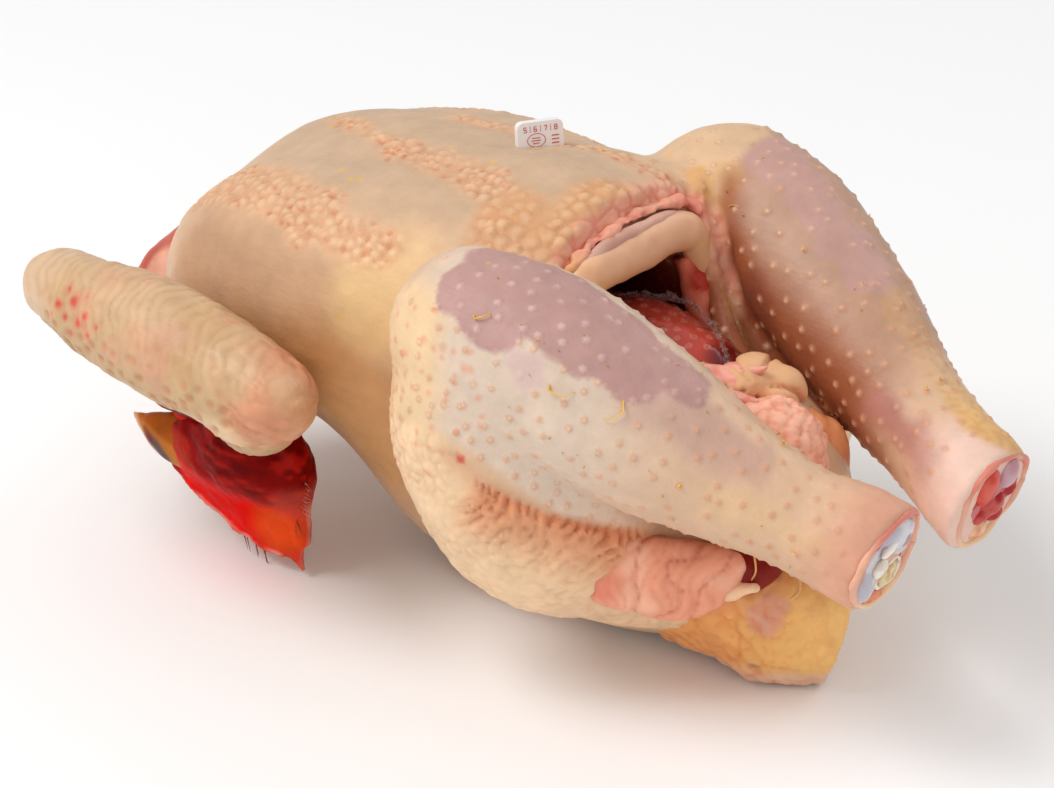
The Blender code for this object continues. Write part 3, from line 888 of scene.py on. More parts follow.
# the creases under the drumsticks and beside the far leg are deep and narrow
under_leg = np.maximum(streak(points, CREASE, 0.04, 0.16), streak(points, mirrored(CREASE), 0.04, 0.16))
beside_leg = streak(points, FOLD_GAP, 0.05, 0.16)
height -= 0.12 * under_leg + 0.1 * beside_leg
crease_height = np.interp(points[:, 0], [p[0] for p in CREASE], [p[2] for p in CREASE])
below_leg = ramp(crease_height - points[:, 2], -0.1, 0.15)


def pleats(points, start, end, depth, pitch, reach, seed):
    """Gathers that cross a crease between two points and die out below it."""
    start, end = np.array(start, float), np.array(end, float)
    run = end - start
    length = np.linalg.norm(run)
    run /= length
    share = (points - start) @ run
    away = np.linalg.norm(points - start - share[:, None] * run, axis=1)
    inside = ramp(share, -0.4, 0.4) * (1 - ramp(share, length - 0.4, length + 0.6))
    fade = inside * (1 - ramp(away, 0.3, reach))
    wave = np.abs(np.sin(math.pi * (share + 0.3 * noise(points, 0.7, seed) + 0.35 * away) / pitch))
    return depth * fade * (wave - 0.5), fade


gathers, gathered = pleats(points, (4.6, -7.0, 6.6), (7.3, -4.0, 4.6), 0.17, 0.27, 1.7, 41)
gathers, gathered = gathers * below_leg, gathered * below_leg * (1 - on_leg[NEAR])
height += gathers * (1 - on_leg[NEAR])
points = points + normals * height[:, None]
normals = normals_of(points, tris)
print("relief from", round(float(height.min()), 3), "to", round(float(height.max()), 3), "cm")

# %% [markdown]
# ## Colour of the skin
# Where the skin lies on fat it is cream to yellow; where it lies on muscle or
# was rubbed off it looks lilac; stretched skin at the opening is pink. The
# paints are laid on in washes, from the widest to the smallest, as a food
# model maker would do it.

# %% Skin colours
CREAM = colour(214, 176, 142)
BEIGE = colour(200, 168, 138)
PEACH = colour(238, 204, 164)
YELLOW = colour(228, 190, 134)
LILAC = colour(184, 142, 135)
SIDE = colour(192, 150, 116)
BELLY = colour(208, 154, 98)
GREY_CREAM = colour(216, 194, 174)
TAN = colour(219, 181, 150)
ORANGE = colour(222, 140, 94)
PINK = colour(224, 140, 124)
ROSE = colour(210, 88, 80)
BLOOD = colour(180, 30, 26)
# the next three colours are painted shade: deep in the cavity, on the far leg, and in the gap beside it
HOLLOW_SHADE = colour(70, 6, 6)
FAR_LEG_SHADE = colour(156, 84, 50)
FAR_GAP_SHADE = colour(128, 66, 56)
DOT_PALE = colour(222, 190, 182)
DOT_ORANGE = colour(212, 136, 98)

tint = np.tile(CREAM, (len(points), 1))
x, y, z = points.T
tint = wash(tint, BEIGE, patch(points, (-3, 0, 11), (6, 3.6, 2.5), soft=2))
for side in (NEAR, FAR):
    tint = wash(tint, SIDE, 0.85 * patch(points, on_side((-4.4, 5.3, 8.4), side), (4.0, 2.2, 1.7), soft=1.6, ragged=0.3, seed=51 + side))
    tint = wash(tint, BELLY, 0.9 * patch(points, on_side((-1.6, 5.0, 4.8), side), (5.0, 2.5, 3.2), soft=2, ragged=0.4, seed=53))
    tint = wash(tint, YELLOW, 0.75 * patch(points, on_side((-0.3, 4.9, 9.2), side), (1.6, 1.8, 1.7), soft=1.4))
for side in (NEAR, FAR):
    t, angle, away = leg_coordinates(points, side)
    leg = on_leg[side]
    tint = wash(tint, GREY_CREAM, leg * (1 - ramp(t, 0.35, 0.75)))
    tint = wash(tint, TAN, 0.75 * leg * ramp(t, 0.3, 0.7) * (1 - ramp(t, 0.8, 1.0)))
    tint = wash(tint, YELLOW, 0.3 * leg * streak(points, [on_side(p, side) for p in ((10.0, 4.5, 7.2), (12.2, 3.8, 6.5))], 0.35, 0.5, 0.3, 58))
    tint = wash(tint, PINK, 0.45 * leg * ramp(t, 0.84, 1.0))
    # the front of the knee is on fat: warm yellow-peach
    tint = wash(tint, colour(234, 198, 150), 0.75 * patch(points, on_side((2.4, 6.6, 8.6), side), (1.3, 1.6, 2.4), soft=0.9, ragged=0.2, seed=59))
tint = wash(tint, PEACH, 0.95 * loose * (1 - legs))
# the lilac patches end at a sharp ragged edge, where the outer skin is gone
lilac = np.maximum(streak(points, LILAC_NEAR, 0.9, 0.1, 0.2, 61),
                   streak(points, [(3.3, -4.7, 11.4), (5.2, -4.4, 11.3), (6.8, -4.2, 10.8), (8.6, -3.9, 9.9)], 0.85, 0.15, 0.2, 57))
tint = wash(tint, LILAC, 0.95 * legs * lilac)
tint = wash(tint, LILAC, 0.55 * legs * streak(points, LILAC_NEAR_TAIL, 0.7, 0.7, 0.3, 62))
tint = wash(tint, colour(208, 172, 172), 0.5 * patch(points, (5.6, -6.5, 9.9), (0.35, 0.5, 0.25), soft=0.4, ragged=0.4, seed=56))
# painted shade on the far leg: darker and browner, most of all on its inner side
inner = on_leg[FAR] * (1 - ramp(0.5 * y + 0.85 * (z + 0.42 * (x - 3)), 9.3, 11.0))
tint = wash(tint, colour(184, 140, 116), 0.85 * on_leg[FAR] * (1 - ramp(x, 9.5, 11.5)))
tint = wash(tint, FAR_LEG_SHADE, 0.9 * inner * (1 - ramp(x, 9.0, 11.0)))
tint = wash(tint, colour(192, 150, 140), 0.9 * legs * streak(points, LILAC_FAR, 0.9, 0.15, 0.25, 63))
tint = wash(tint, colour(222, 186, 148), 0.85 * patch(points, (1.9, 4.6, 11.0), (1.7, 2.0, 1.6), soft=0.4, ragged=0.15, seed=48))
tint = wash(tint, colour(222, 180, 118), 0.6 * patch(points, (3.5, 3.4, 10.9), (0.5, 0.7, 1.0), soft=0.6, ragged=0.2, seed=49))
# painted shade along the lower edge of the far drumstick and beside the fold gap
tint = wash(tint, FAR_LEG_SHADE, 0.85 * on_leg[FAR] * streak(points, [(4.6, 3.1, 8.9), (6.0, 2.5, 7.6), (8.0, 1.9, 6.6), (10.2, 1.2, 5.4)], 0.8, 1.1, 0.3, 65))
tint = wash(tint, FAR_LEG_SHADE, 0.85 * on_leg[FAR] * streak(points, [(fx + 0.35, fy + 0.3, fz) for fx, fy, fz in FOLD_GAP], 0.3, 1.0, 0.15, 50))
tint = wash(tint, colour(118, 54, 32), 0.7 * on_leg[FAR] * streak(points, [(fx + 0.3, fy + 0.25, fz) for fx, fy, fz in FOLD_GAP[2:]], 0.2, 0.8, 0.15, 47))
# painted shade in the gap between the cavity rim and the far leg
tint = wash(tint, FAR_GAP_SHADE, 0.6 * patch(points, (5.4, 2.4, 8.2), (0.7, 1.0, 0.7), soft=0.8, ragged=0.25, seed=64))
tint = wash(tint, colour(222, 168, 112), 0.9 * streak(points, FOLD, 0.3, 0.2, 0.05, 73))
# painted shadow: a dark line down the fold gap
tint = wash(tint, colour(120, 52, 24), 0.95 * streak(points, FOLD_GAP, 0.06, 0.2, 0.03, 74))
tint = wash(tint, colour(180, 118, 108), 0.8 * streak(points, [(10.1, 1.8, 7.3), (11.3, 1.5, 6.8), (12.0, 1.3, 6.6)], 0.45, 0.5, 0.25, 54))
tint = wash(tint, colour(236, 204, 188), 0.8 * on_leg[FAR] * ramp(x, 11.2, 12.8) * (1 - strip))
tint = wash(tint, colour(222, 176, 108), (0.2 + 0.6 * ramp(x, 10.6, 12.4)) * strip)
# painted shade in the creases between the scales
tint = wash(tint, colour(190, 132, 76), 0.35 * strip * scale_crease)

# %% Colour of bumps, follicles, rim and spots
valley = packed * crease
blotchy = ramp(noise(points, 1.1, 36), -0.5, 0.6)
tint = wash(tint, colour(220, 171, 132), 0.65 * rough)
tint = wash(tint, colour(210, 154, 106), 0.6 * streak(points, OPENING_TRACT, 1.1, 0.6, 0.3, 66))
# the creases between bumps are painted darker orange, partly the skin's own tone and partly painted shade; the tops of
# the bumps carry a painted highlight
tint = wash(tint, colour(206, 138, 98), 0.55 * valley * (0.5 + 0.5 * blotchy))
tint = wash(tint, colour(236, 200, 160), 0.4 * packed * ramp(cushion, 0.55, 1.0))
tint = wash(tint, colour(204, 116, 82), 0.8 * ramp(pit, 0.1, 0.7) * (0.35 + 0.65 * blotchy))
rim = streak(points, RIM, 0.42, 0.5, 0.15, 67)
tint = wash(tint, colour(230, 158, 138), 0.75 * rim)
tint = wash(tint, ROSE, 0.35 * rim * crease)
lilac = ramp(tint[:, 2] / tint[:, 1], 0.8, 0.89)
shank = np.zeros(len(points))
for side in (NEAR, FAR):
    t, angle, away = leg_coordinates(points, side)
    shank = np.maximum(shank, on_leg[side] * ramp(t, 0.3, 0.65))
dot_amount = ramp(dome, 0.1, 0.8)
tint = wash(tint, DOT_PALE, dot_amount * 0.55 * lilac * (1 - 0.7 * shank))
tint = wash(tint, colour(208, 154, 120), 0.6 * ramp(dome, 0.02, 0.5) * (1 - lilac))
tint = wash(tint, colour(238, 206, 174), 0.6 * ramp(dome, 0.6, 1.0) * (1 - lilac))
tint = wash(tint, DOT_ORANGE, 0.7 * ramp(1 - dot_gap / 0.08, 0, 1) * np.maximum(0.8 * shank, 0.6 * (noise(points, 1.3, 68) > 0.25)))
tint = wash(tint, colour(224, 138, 104), 0.55 * ramp(knee_dot, 0.1, 0.9))
tint = wash(tint, colour(220, 138, 92), 0.75 * gathered)
# painted shade in the troughs of the pleats
tint = wash(tint, colour(198, 92, 56), 0.55 * gathered * ramp(-gathers, 0.0, 0.08))
tint = wash(tint, colour(222, 186, 150), 0.8 * patch(points, (6.6, -4.4, 2.9), (2.0, 1.4, 1.0), soft=0.8, ragged=0.3, seed=60) * (1 - legs))
# painted shadow of the drumstick's overhang on the thigh skin, darkest in the crease itself
tint = wash(tint, colour(206, 120, 82), 0.45 * np.maximum(streak(points, CREASE, 0.1, 0.35, 0.06, 77), streak(points, mirrored(CREASE), 0.1, 0.35, 0.06, 77)))
tint = wash(tint, colour(170, 62, 36), 0.8 * under_leg)
for spot, size in (((4.34, -7.21, 7.25), 0.13), ((-2.5, -4.3, 10.1), 0.12), ((-2.75, -4.2, 10.15), 0.07), ((2.55, -6.5, 10.2), 0.09),
                   ((3.2, 2.2, 10.9), 0.16)):
    tint = wash(tint, colour(196, 50, 40), 0.85 * patch(points, spot, (size, size, size), soft=0.12, ragged=0.05, seed=75))
specks = points[staggered(x, y, (z > 6) & (x < 3.4), 1.5, 1.3, 0.45, 0.5, 76)]
speck_gap, _, _ = nearest_two(points, specks, z > 5.5)
tint = wash(tint, colour(226, 176, 70), 0.7 * ramp(1 - speck_gap / 0.08, 0, 0.6))

# inside the cavity the lining is painted dark red, flesh colour with painted shade, and deeper in it painted shade that
# is almost black
hollow = lump((0.8, 0.3, 7.6), (5.1, 2.65, 2.35), (0, 8, 0))[0](points)
inside = (1 - ramp(hollow, -0.15, 0.2)) * (x < 3.4)
tint = wash(tint, colour(130, 30, 22), inside)
tint = wash(tint, HOLLOW_SHADE, inside * (1 - ramp(x, 0.5, 3.0)))
tint *= (1 + 0.05 * noise(points, 0.9, 71) + 0.03 * noise(points, 0.3, 72))[:, None]

skin = make_piece("body_skin", points, tris, skin_finish, tint)
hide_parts("chicken")


# %% [markdown]
# ## Wings
# The wing is folded: the upper arm runs back along the ribs, the forearm comes
# forward outside it, and the flat tip is tucked behind. The upper side of the
# forearm is gathered in cross wrinkles and its lower half carries two or three
# rows of quill pits. Each wing is its own closed piece, pushed into the trunk.

# %% Wings
WING_REACH, WING_HEIGHT = 7.55, 7.05
ELBOW_X, WRIST_X = -1.65, -9.65


def make_wing(name, side, drop, tuck):
    out, high = (WING_REACH - tuck) * side, WING_HEIGHT - drop
    elbow = np.array([ELBOW_X, out, high - 0.1])
    wrist = np.array([WRIST_X, out, high + 0.5])
    shoulder = np.array([-7.6, 3.6 * side, high - 1.9])
    clay = Clay(np.array([-11.4, min(out, 2 * side) - 2.2, high - 2.6]),
                np.array([0.6, max(out, 2 * side) + 2.2, high + 2.6]), 0.16)
    clay.add(limb([(*shoulder, 1.5), (*along(shoulder, elbow, 0.5, (0, 0, -0.9)), 1.4),
                   (*(elbow + (-0.6, side * -0.6, -0.5)), 1.05)]), 0.5)
    clay.add(limb([(*elbow, 1.12), (*along(elbow, wrist, 0.22), 1.36), (*along(elbow, wrist, 0.5), 1.5),
                   (*along(elbow, wrist, 0.78), 1.32), (*wrist, 0.95)]), 0.4)
    clay.add(lump(elbow + (-0.8, side * 0.35, -0.6), (0.9, 0.75, 0.7), (0, 20, 0)), 0.35)
    inner = np.array([0, -1.25 * side, -0.7])
    clay.add(limb([(*(wrist + inner * 0.3), 0.9), (*(along(wrist, elbow, 0.35) + inner), 0.85),
                   (*(along(wrist, elbow, 0.72) + inner), 0.5)]), 0.3)
    points, tris = skin_of(clay, lambda p: np.full(len(p), 0.1))
    normals = normals_of(points, tris)
    s = points[:, 0] - wrist[0]
    up = normals[:, 2]
    outward = normals[:, 1] * side
    top = ramp(up, -0.1, 0.6)
    lower = (1 - ramp(up, -0.1, 0.5)) * ramp(outward, -0.2, 0.3)
    # cross wrinkles lean a little, and split and join
    phase = (s * 0.95 + 0.45 * (points[:, 2] - high) + 0.22 * noise(points, 0.9, 81) + 0.14 * noise(points, 0.35, 82)) / 0.33
    folds = 1 - np.abs(np.sin(math.pi * phase)) ** 0.7
    height = -0.05 * folds * top * ramp(s, 0.8, 2.2) * (0.55 + 0.8 * np.clip(noise(points, 0.9, 93), -0.7, 0.7))
    near_elbow = ramp(s, 6.6, 8.0)
    height += -0.08 * near_elbow * (1 - np.abs(np.sin(math.pi * (s * 0.4 + points[:, 2] + 0.3 * noise(points, 0.6, 83)) / 0.38)))
    pits = points[staggered(s, points[:, 2], (outward > 0.15) & (up < 0.75) & (s > 0.5) & (s < 7.6), 0.5, 0.4, 0.22, 0.85, 84)]
    gap, _, _ = nearest_two(points, pits, outward > -0.1)
    pit = np.clip(1 - (gap / 0.16) ** 2, 0, 1)
    ring = np.clip(1 - ((gap - 0.2) / 0.1) ** 2, 0, 1)
    height += (-0.05 * pit + 0.02 * ring) * (0.35 + 0.65 * lower)
    height += 0.07 * noise(points, 1.3, 85) + 0.035 * noise(points, 0.45, 86) + 0.015 * noise(points, 0.22, 87)
    points = points + normals * height[:, None]
    tint = np.tile(colour(200, 166, 126), (len(points), 1))
    # painted light: faces that turn upwards are a little lighter
    tint = wash(tint, colour(208, 174, 136), ramp(up, 0.0, 0.8))
    tint = wash(tint, colour(190, 152, 108), 0.5 * ramp(noise(points, 1.6, 88), 0.0, 0.7))
    tint = wash(tint, colour(216, 186, 156), 0.7 * (1 - ramp(s, 0.0, 1.6)))
    tint = wash(tint, colour(208, 136, 104), 0.8 * near_elbow * ramp(noise(points, 0.8, 89), -0.5, 0.5))
    tint = wash(tint, colour(228, 196, 160), 0.8 * patch(points, elbow + (-1.1, side * 1.0, -1.0), (0.9, 0.8, 0.6), soft=0.4))
    # painted shade in the creases of the cross wrinkles
    tint = wash(tint, colour(184, 130, 86), 0.4 * folds * top)
    tint = wash(tint, colour(196, 134, 92), 0.75 * pit * (0.35 + 0.65 * lower))
    tint = wash(tint, colour(214, 150, 126), 0.45 * ramp(noise(points, 0.9, 90), 0.25, 0.8))
    for where, size in (((1.55, 0.55), 0.12), ((1.35, 0.1), 0.08), ((1.85, 0.1), 0.09), ((1.0, 0.35), 0.1),
                        ((1.6, -0.25), 0.1), ((2.3, -0.1), 0.09), ((1.9, 0.75), 0.06), ((1.2, 0.75), 0.07), ((2.1, 0.35), 0.07),
                        ((0.8, 0.0), 0.06), ((2.6, 0.2), 0.05)):
        spot = (wrist[0] + where[0] + 0.35, out + side * 1.0, wrist[2] + where[1])
        tint = wash(tint, colour(222, 120, 104), 0.4 * patch(points, spot, (size * 2, 0.5, size * 2), soft=0.25, ragged=0.1, seed=94))
        tint = wash(tint, colour(204, 56, 46), 0.8 * patch(points, spot, (size, 0.5, size), soft=0.14, ragged=0.08, seed=95))
    tint *= (1 + 0.05 * noise(points, 0.7, 91) + 0.03 * noise(points, 0.25, 92))[:, None]
    return make_piece(name, points, tris, skin_finish, tint)


make_wing("near_wing", NEAR, 0.0, 0.0)
make_wing("far_wing", FAR, 2.1, 0.9)


# %% [markdown]
# ## Neck and head
# The neck comes out between the shoulders, skinned and pink-red, turns round
# the near shoulder and doubles back under the wing. The head hangs from it
# upside down: the comb points at the table, the beak forward. The comb is a
# thick soft blade with a pale rim; behind it the bare skin of the other cheek
# carries bristles.

# %% Neck
neck = Clay((-13.2, -7.6, 2.0), (-1.6, 3.0, 9.2), 0.16)
NECK = [(-8.4, -0.8, 6.3, 1.9), (-10.0, -1.9, 6.1, 1.35), (-10.3, -3.8, 5.0, 1.15), (-8.0, -5.1, 4.9, 1.1),
        (-4.8, -5.4, 4.9, 0.95), (-4.2, -5.3, 4.3, 0.8), (-4.6, -5.35, 3.8, 0.6)]
neck.add(limb(NECK, 8), 0.5)
points, tris = skin_of(neck, lambda p: np.full(len(p), 0.16))
normals = normals_of(points, tris)
strands = np.sin(6 * np.arctan2(points[:, 2] - 5.4, points[:, 1] + 1.6) + 2 * noise(points, 1.5, 101))
height = 0.06 * strands + 0.06 * noise(points, 0.5, 102)
points = points + normals * height[:, None]
tint = np.tile(colour(212, 140, 114), (len(points), 1))
tint = wash(tint, colour(232, 178, 152), ramp(noise(points, 0.9, 103), -0.2, 0.6))
tint = wash(tint, colour(178, 48, 36), 0.8 * ramp(noise(points, 1.2, 104), 0.1, 0.5))
tint = wash(tint, colour(120, 20, 14), ramp(points[:, 0], -9.5, -7.0) * ramp(-points[:, 1], 2.5, 4.5))
neck_finish = moist_finish("raw_flesh", roughness=0.36, scatter=0.1, coat=0.18, grain=0.3, mottle=0.12, shine=0.15, index=1.22)
make_piece("neck", points, tris, neck_finish, tint)

# %% Head, comb and cheeks
head = Clay((-8.7, -7.2, 0.0), (-1.6, -3.6, 5.6), 0.1)
head.add(lump((-4.95, -5.4, 3.45), (1.8, 1.0, 1.35), (0, -8, 0)), 0.4)
head.add(lump((-6.5, -5.35, 2.95), (1.4, 0.75, 1.0), (0, 10, 0)), 0.5)
head.add(lump((-3.85, -5.15, 3.0), (0.72, 0.75, 1.0)), 0.6)
COMB = [(-7.5, -5.4, 2.35, 0.42), (-6.5, -5.35, 1.95, 0.62), (-5.4, -5.25, 1.6, 0.8), (-4.4, -5.15, 1.4, 0.8)]
head.add(limb(COMB, 6, flatten=((0, 1, 0.1), 0.42)), 0.35)
head.add(limb([(-4.3, -5.1, 1.5, 0.75), (-3.95, -5.05, 1.05, 0.5), (-3.7, -5.0, 0.6, 0.25), (-3.5, -5.0, 0.28, 0.12)], 6,
              flatten=((0, 1, 0), 0.45)), 0.15)
head.add(limb([(-3.6, -5.1, 2.3, 0.35), (-3.45, -5.05, 1.7, 0.25), (-3.4, -5.0, 1.2, 0.16)], 5), 0.25)
COMB_RIM = [(-7.85, -5.45, 2.12, 0.1), (-7.2, -5.42, 1.62, 0.09), (-6.5, -5.42, 1.28, 0.08), (-5.6, -5.36, 0.92, 0.08),
            (-4.7, -5.28, 0.7, 0.08), (-4.1, -5.2, 0.6, 0.06)]
head.add(limb(COMB_RIM, 6), 0.16)
head.add(lump((-6.4, -4.85, 1.55), (1.35, 0.4, 0.62), (0, 34, 0)), 0.12)
head.add(lump((-5.0, -4.75, 0.98), (0.9, 0.35, 0.42), (0, 24, 0)), 0.12)
head.add(lump((-4.35, -4.95, 0.72), (0.26, 0.2, 0.16)), 0.05)
head.slice_off((0, 0, 0.05), (0, 0, -1), 99, 0.1)
points, tris = skin_of(head, lambda p: np.full(len(p), 0.085))
normals = normals_of(points, tris)
x, y, z = points.T
blade = streak(points, [k[:3] for k in COMB], 0.75, 0.4)
height = 0.05 * noise(points, 0.5, 111) + 0.02 * noise(points, 0.18, 112)
strands = noise(points * (0.35, 1.0, 1.6), 0.22, 119)
height += 0.02 * strands * ramp(z, 1.9, 2.4)
folds = np.abs(np.sin(math.pi * (x * 0.5 + z + 0.5 * noise(points, 0.7, 113)) / 0.5))
height -= 0.015 * (1 - folds) * patch(points, (-6.7, -6.0, 3.0), (1.3, 1.0, 0.9), soft=0.5)
points = points + normals * height[:, None]
tint = np.tile(colour(156, 12, 5), (len(points), 1))
# painted shade: the head is darker higher up and towards the body, where the wing overhangs it
tint = wash(tint, colour(122, 5, 2), ramp(z, 2.0, 3.4) * ramp(x, -6.6, -5.0))
tint = wash(tint, colour(182, 56, 30), 0.6 * patch(points, (-7.2, -6.0, 2.9), (0.7, 0.7, 0.6), soft=0.5, ragged=0.1, seed=114))
tint = wash(tint, colour(190, 30, 18), 0.5 * ramp(strands, 0.15, 0.6) * ramp(z, 1.9, 2.4))
tint = wash(tint, colour(84, 2, 2), 0.5 * ramp(-strands, 0.2, 0.6) * ramp(z, 1.9, 2.4))
tint = wash(tint, colour(222, 12, 3), ramp(2.9 - z - 0.1 * (x + 6) + 0.15 * noise(points, 0.6, 118), 0.0, 0.7) * ramp(x, -7.9, -7.2))
tint = wash(tint, colour(220, 76, 22), 0.85 * patch(points, (-3.9, -5.2, 1.5), (0.9, 0.8, 1.0), soft=0.8))
tint = wash(tint, colour(222, 60, 44), 0.8 * patch(points, (-3.6, -5.0, 0.4), (0.5, 0.4, 0.45), soft=0.3))
tint = wash(tint, colour(190, 70, 56), 0.7 * patch(points, (-3.3, -5.3, 2.4), (0.6, 1.1, 0.7), soft=0.6, ragged=0.3, seed=115))
behind = ramp(y, -5.12, -4.98) * ramp(2.5 - z, 0, 0.3)
tint = wash(tint, colour(214, 128, 112), behind)
tint = wash(tint, colour(190, 80, 66), 0.6 * behind * ramp(noise(points, 0.3, 116), 0, 0.5))
rim_paint = streak(points, [k[:3] for k in COMB_RIM], 0.1, 0.1)
tint = wash(tint, colour(238, 172, 158), 0.85 * rim_paint * ramp(-y, 5.2, 5.3))
tint = wash(tint, colour(232, 90, 34), patch(points, (-4.35, -4.95, 0.72), (0.3, 0.3, 0.2), soft=0.1))
tint *= (1 + 0.1 * noise(points, 0.5, 117))[:, None]
comb_finish = moist_finish("comb_skin", roughness=0.42, scatter=0.04, coat=0.06, grain=0.3, grain_size=1400.0, mottle=0.12, shine=0.1, index=1.18)
make_piece("head_and_comb", points, tris, comb_finish, tint)

# %% Beak and wattle
beak = Clay((-10.1, -6.7, 1.4), (-6.4, -4.2, 4.4), 0.08)
beak.add(limb([(-9.46, -5.45, 3.08, 0.06), (-9.0, -5.45, 2.95, 0.26), (-8.5, -5.42, 2.85, 0.48), (-8.0, -5.4, 2.8, 0.66),
               (-7.4, -5.38, 2.85, 0.75)], 8, flatten=((0, 1, 0), 0.75)), 0.1)
beak.add(limb([(-8.7, -5.45, 3.08, 0.22), (-8.0, -5.42, 3.35, 0.22), (-7.2, -5.4, 3.6, 0.2)], 6), 0.12)
points, tris = skin_of(beak, lambda p: np.full(len(p), 0.07))
normals = normals_of(points, tris)
x, y, z = points.T
axis_z = 3.0 + (x + 8.6) * -0.1
points = points + normals * (0.02 * noise(points, 0.4, 121))[:, None]
tint = np.tile(colour(190, 112, 34), (len(points), 1))
tint = wash(tint, colour(164, 80, 8), ramp(z - axis_z, 0.0, 0.2))
tint = wash(tint, colour(74, 60, 66), 0.95 * patch(points, (-8.15, -5.9, 2.45), (0.62, 0.7, 0.42), (0, 38, 0), soft=0.3))
tint = wash(tint, colour(120, 30, 24), 0.7 * patch(points, (-8.55, -5.9, 2.85), (0.3, 0.5, 0.16), (0, 30, 0), soft=0.12, ragged=0.06, seed=122))
tint = wash(tint, colour(232, 190, 160), 0.85 * (1 - ramp(z - (2.9 + (x + 9.2) * -0.62), 0.05, 0.3)) * (1 - ramp(x, -8.3, -7.9)))
tint = wash(tint, colour(222, 160, 140), 0.7 * (1 - ramp(x, -9.45, -9.15)))
beak_finish = moist_finish("horn", roughness=0.34, scatter=0.05, coat=0.1, grain=0.12, mottle=0.15, shine=0.15, index=1.22)
make_piece("beak", points, tris, beak_finish, tint)

wattle = Clay((-8.4, -6.6, 3.1), (-5.6, -4.4, 5.0), 0.08)
wattle.add(lump((-7.3, -5.5, 3.9), (0.36, 0.3, 0.27)), 0.1)
wattle.add(lump((-6.8, -5.5, 4.05), (0.4, 0.3, 0.25)), 0.12)
points, tris = skin_of(wattle, lambda p: np.full(len(p), 0.08))
tint = wash(np.tile(colour(205, 40, 26), (len(points), 1)), colour(232, 150, 130), ramp(points[:, 0], -7.1, -6.8))
make_piece("wattle", points, tris, comb_finish, tint)


# %% [markdown]
# ## Tail, vent and flaps
# Below the opening the bird closes with soft lobes of fat and turned-out skin,
# a folded flap of thin salmon skin beside the tail, and the tail itself, a
# yellow wedge of fat that lies on the table. They are modelled one by one,
# because their colours change from lobe to lobe.

# %% A helper for small clay pieces
def clay_piece(name, low, high, step, shapes, paint, finish=None, relief=None, grain=None, blend=0.2, cuts=()):
    """Lumps, then noise relief, then paint: paint and relief get points and normals."""
    clay = Clay(low, high, step)
    for entry in shapes:
        shape, width = entry if isinstance(entry[1], float) else (entry, blend)
        clay.add(shape, width)
    for point, heading, reach in cuts:
        clay.slice_off(point, np.array(heading) / np.linalg.norm(heading), reach, 0.15)
    clay.slice_off((0, 0, 0.0), (0, 0, -1), 99, 0.1)
    size = grain or step * 0.9
    points, tris = skin_of(clay, lambda p: np.full(len(p), size))
    normals = normals_of(points, tris)
    if relief is not None:
        points = points + normals * relief(points, normals)[:, None]
    return make_piece(name, points, tris, finish or skin_finish, paint(points, normals))


def ridges(points, direction, pitch, wander, seed):
    """Fold lines across a direction: 1 on a crest, 0 in a crease."""
    direction = np.array(direction, float) / np.linalg.norm(direction)
    return np.abs(np.sin(math.pi * (points @ direction + wander * noise(points, 0.8, seed)) / pitch)) ** 0.6


def crumples(points, size=0.5, seed=138):
    """Branching crease lines: 1 in a crease, falling quickly to 0."""
    coarse, fine = np.abs(noise(points, size, seed)), np.abs(noise(points, size * 0.5, seed + 1))
    return np.maximum(1 - ramp(coarse, 0.0, 0.16), 0.7 * (1 - ramp(fine, 0.0, 0.16)))


# %% Tail
def paint_tail(points, normals):
    x, y, z = points.T
    tint = np.tile(colour(238, 182, 108), (len(points), 1))
    tint = wash(tint, colour(232, 160, 96), 0.8 * (1 - ramp(x, 8.0, 9.6)))
    tint = wash(tint, colour(240, 192, 120), 0.7 * ramp(x, 9.8, 10.8))
    tint = wash(tint, colour(214, 156, 138), 0.85 * patch(points, (9.35, -1.35, 2.6), (0.55, 0.8, 0.5), (0, 20, 0), soft=0.35, ragged=0.3, seed=131))
    tint = wash(tint, colour(226, 190, 170), 0.8 * (1 - ramp(z, 0.35, 0.95)))
    tint = wash(tint, colour(120, 124, 130), 0.8 * patch(points, (9.0, -1.5, 0.85), (0.13, 0.5, 0.09), soft=0.08))
    lines = ridges(points, (0.8, 0.2, 0.9), 0.42, 0.5, 132)
    # painted shade in the troughs between the ridges and in the crumpled creases
    tint = wash(tint, colour(222, 132, 70), 0.5 * (1 - lines) * (1 - ramp(x, 8.8, 10.0)))
    tint = wash(tint, colour(214, 120, 62), 0.5 * crumples(points) * (1 - 0.6 * ramp(x, 9.2, 10.4)))
    tint = wash(tint, colour(232, 150, 110), 0.3 * ramp(noise(points, 0.7, 133), 0.2, 0.7))
    return tint * (1 + 0.05 * noise(points, 0.6, 134))[:, None]


def shape_tail(points, normals):
    left = 1 - ramp(points[:, 0], 8.8, 9.8)
    lines = ridges(points, (0.8, 0.2, 0.9), 0.42, 0.3, 132)
    wrinkle = ridges(points, (0.9, 0.1, 0.5), 0.25, 0.2, 135) * patch(points, (9.4, -1.35, 2.6), (0.6, 0.8, 0.55), (0, 20, 0), soft=0.25)
    return (0.07 * (lines - 0.6) * left + 0.04 * (wrinkle - 0.5) - 0.045 * crumples(points)
            + 0.05 * noise(points, 0.7, 136) + 0.02 * noise(points, 0.25, 137))


clay_piece("tail", (5.2, -3.6, -0.3), (12.0, 3.2, 5.4), 0.13,
           [(limb([(6.6, -0.6, 2.2, 2.0), (8.0, -0.4, 1.9, 1.75), (9.3, -0.2, 1.6, 1.35), (10.0, 0.0, 1.35, 1.0)], 6,
                  flatten=((0.1, 1, -0.1), 0.95)), 0.3),
            (limb([(8.2, -1.2, 2.7, 0.9), (9.4, -0.7, 2.75, 0.75), (10.35, -0.1, 2.5, 0.42)], 6), 0.6),
            (limb([(8.6, -0.9, 0.7, 0.65), (9.6, -0.1, 0.45, 0.5), (10.1, 0.25, 0.35, 0.35)], 6), 0.6)],
           paint_tail, relief=shape_tail, cuts=[((10.6, 0.0, 1.5), (0.8, 0.53, -0.28), 3.0)])

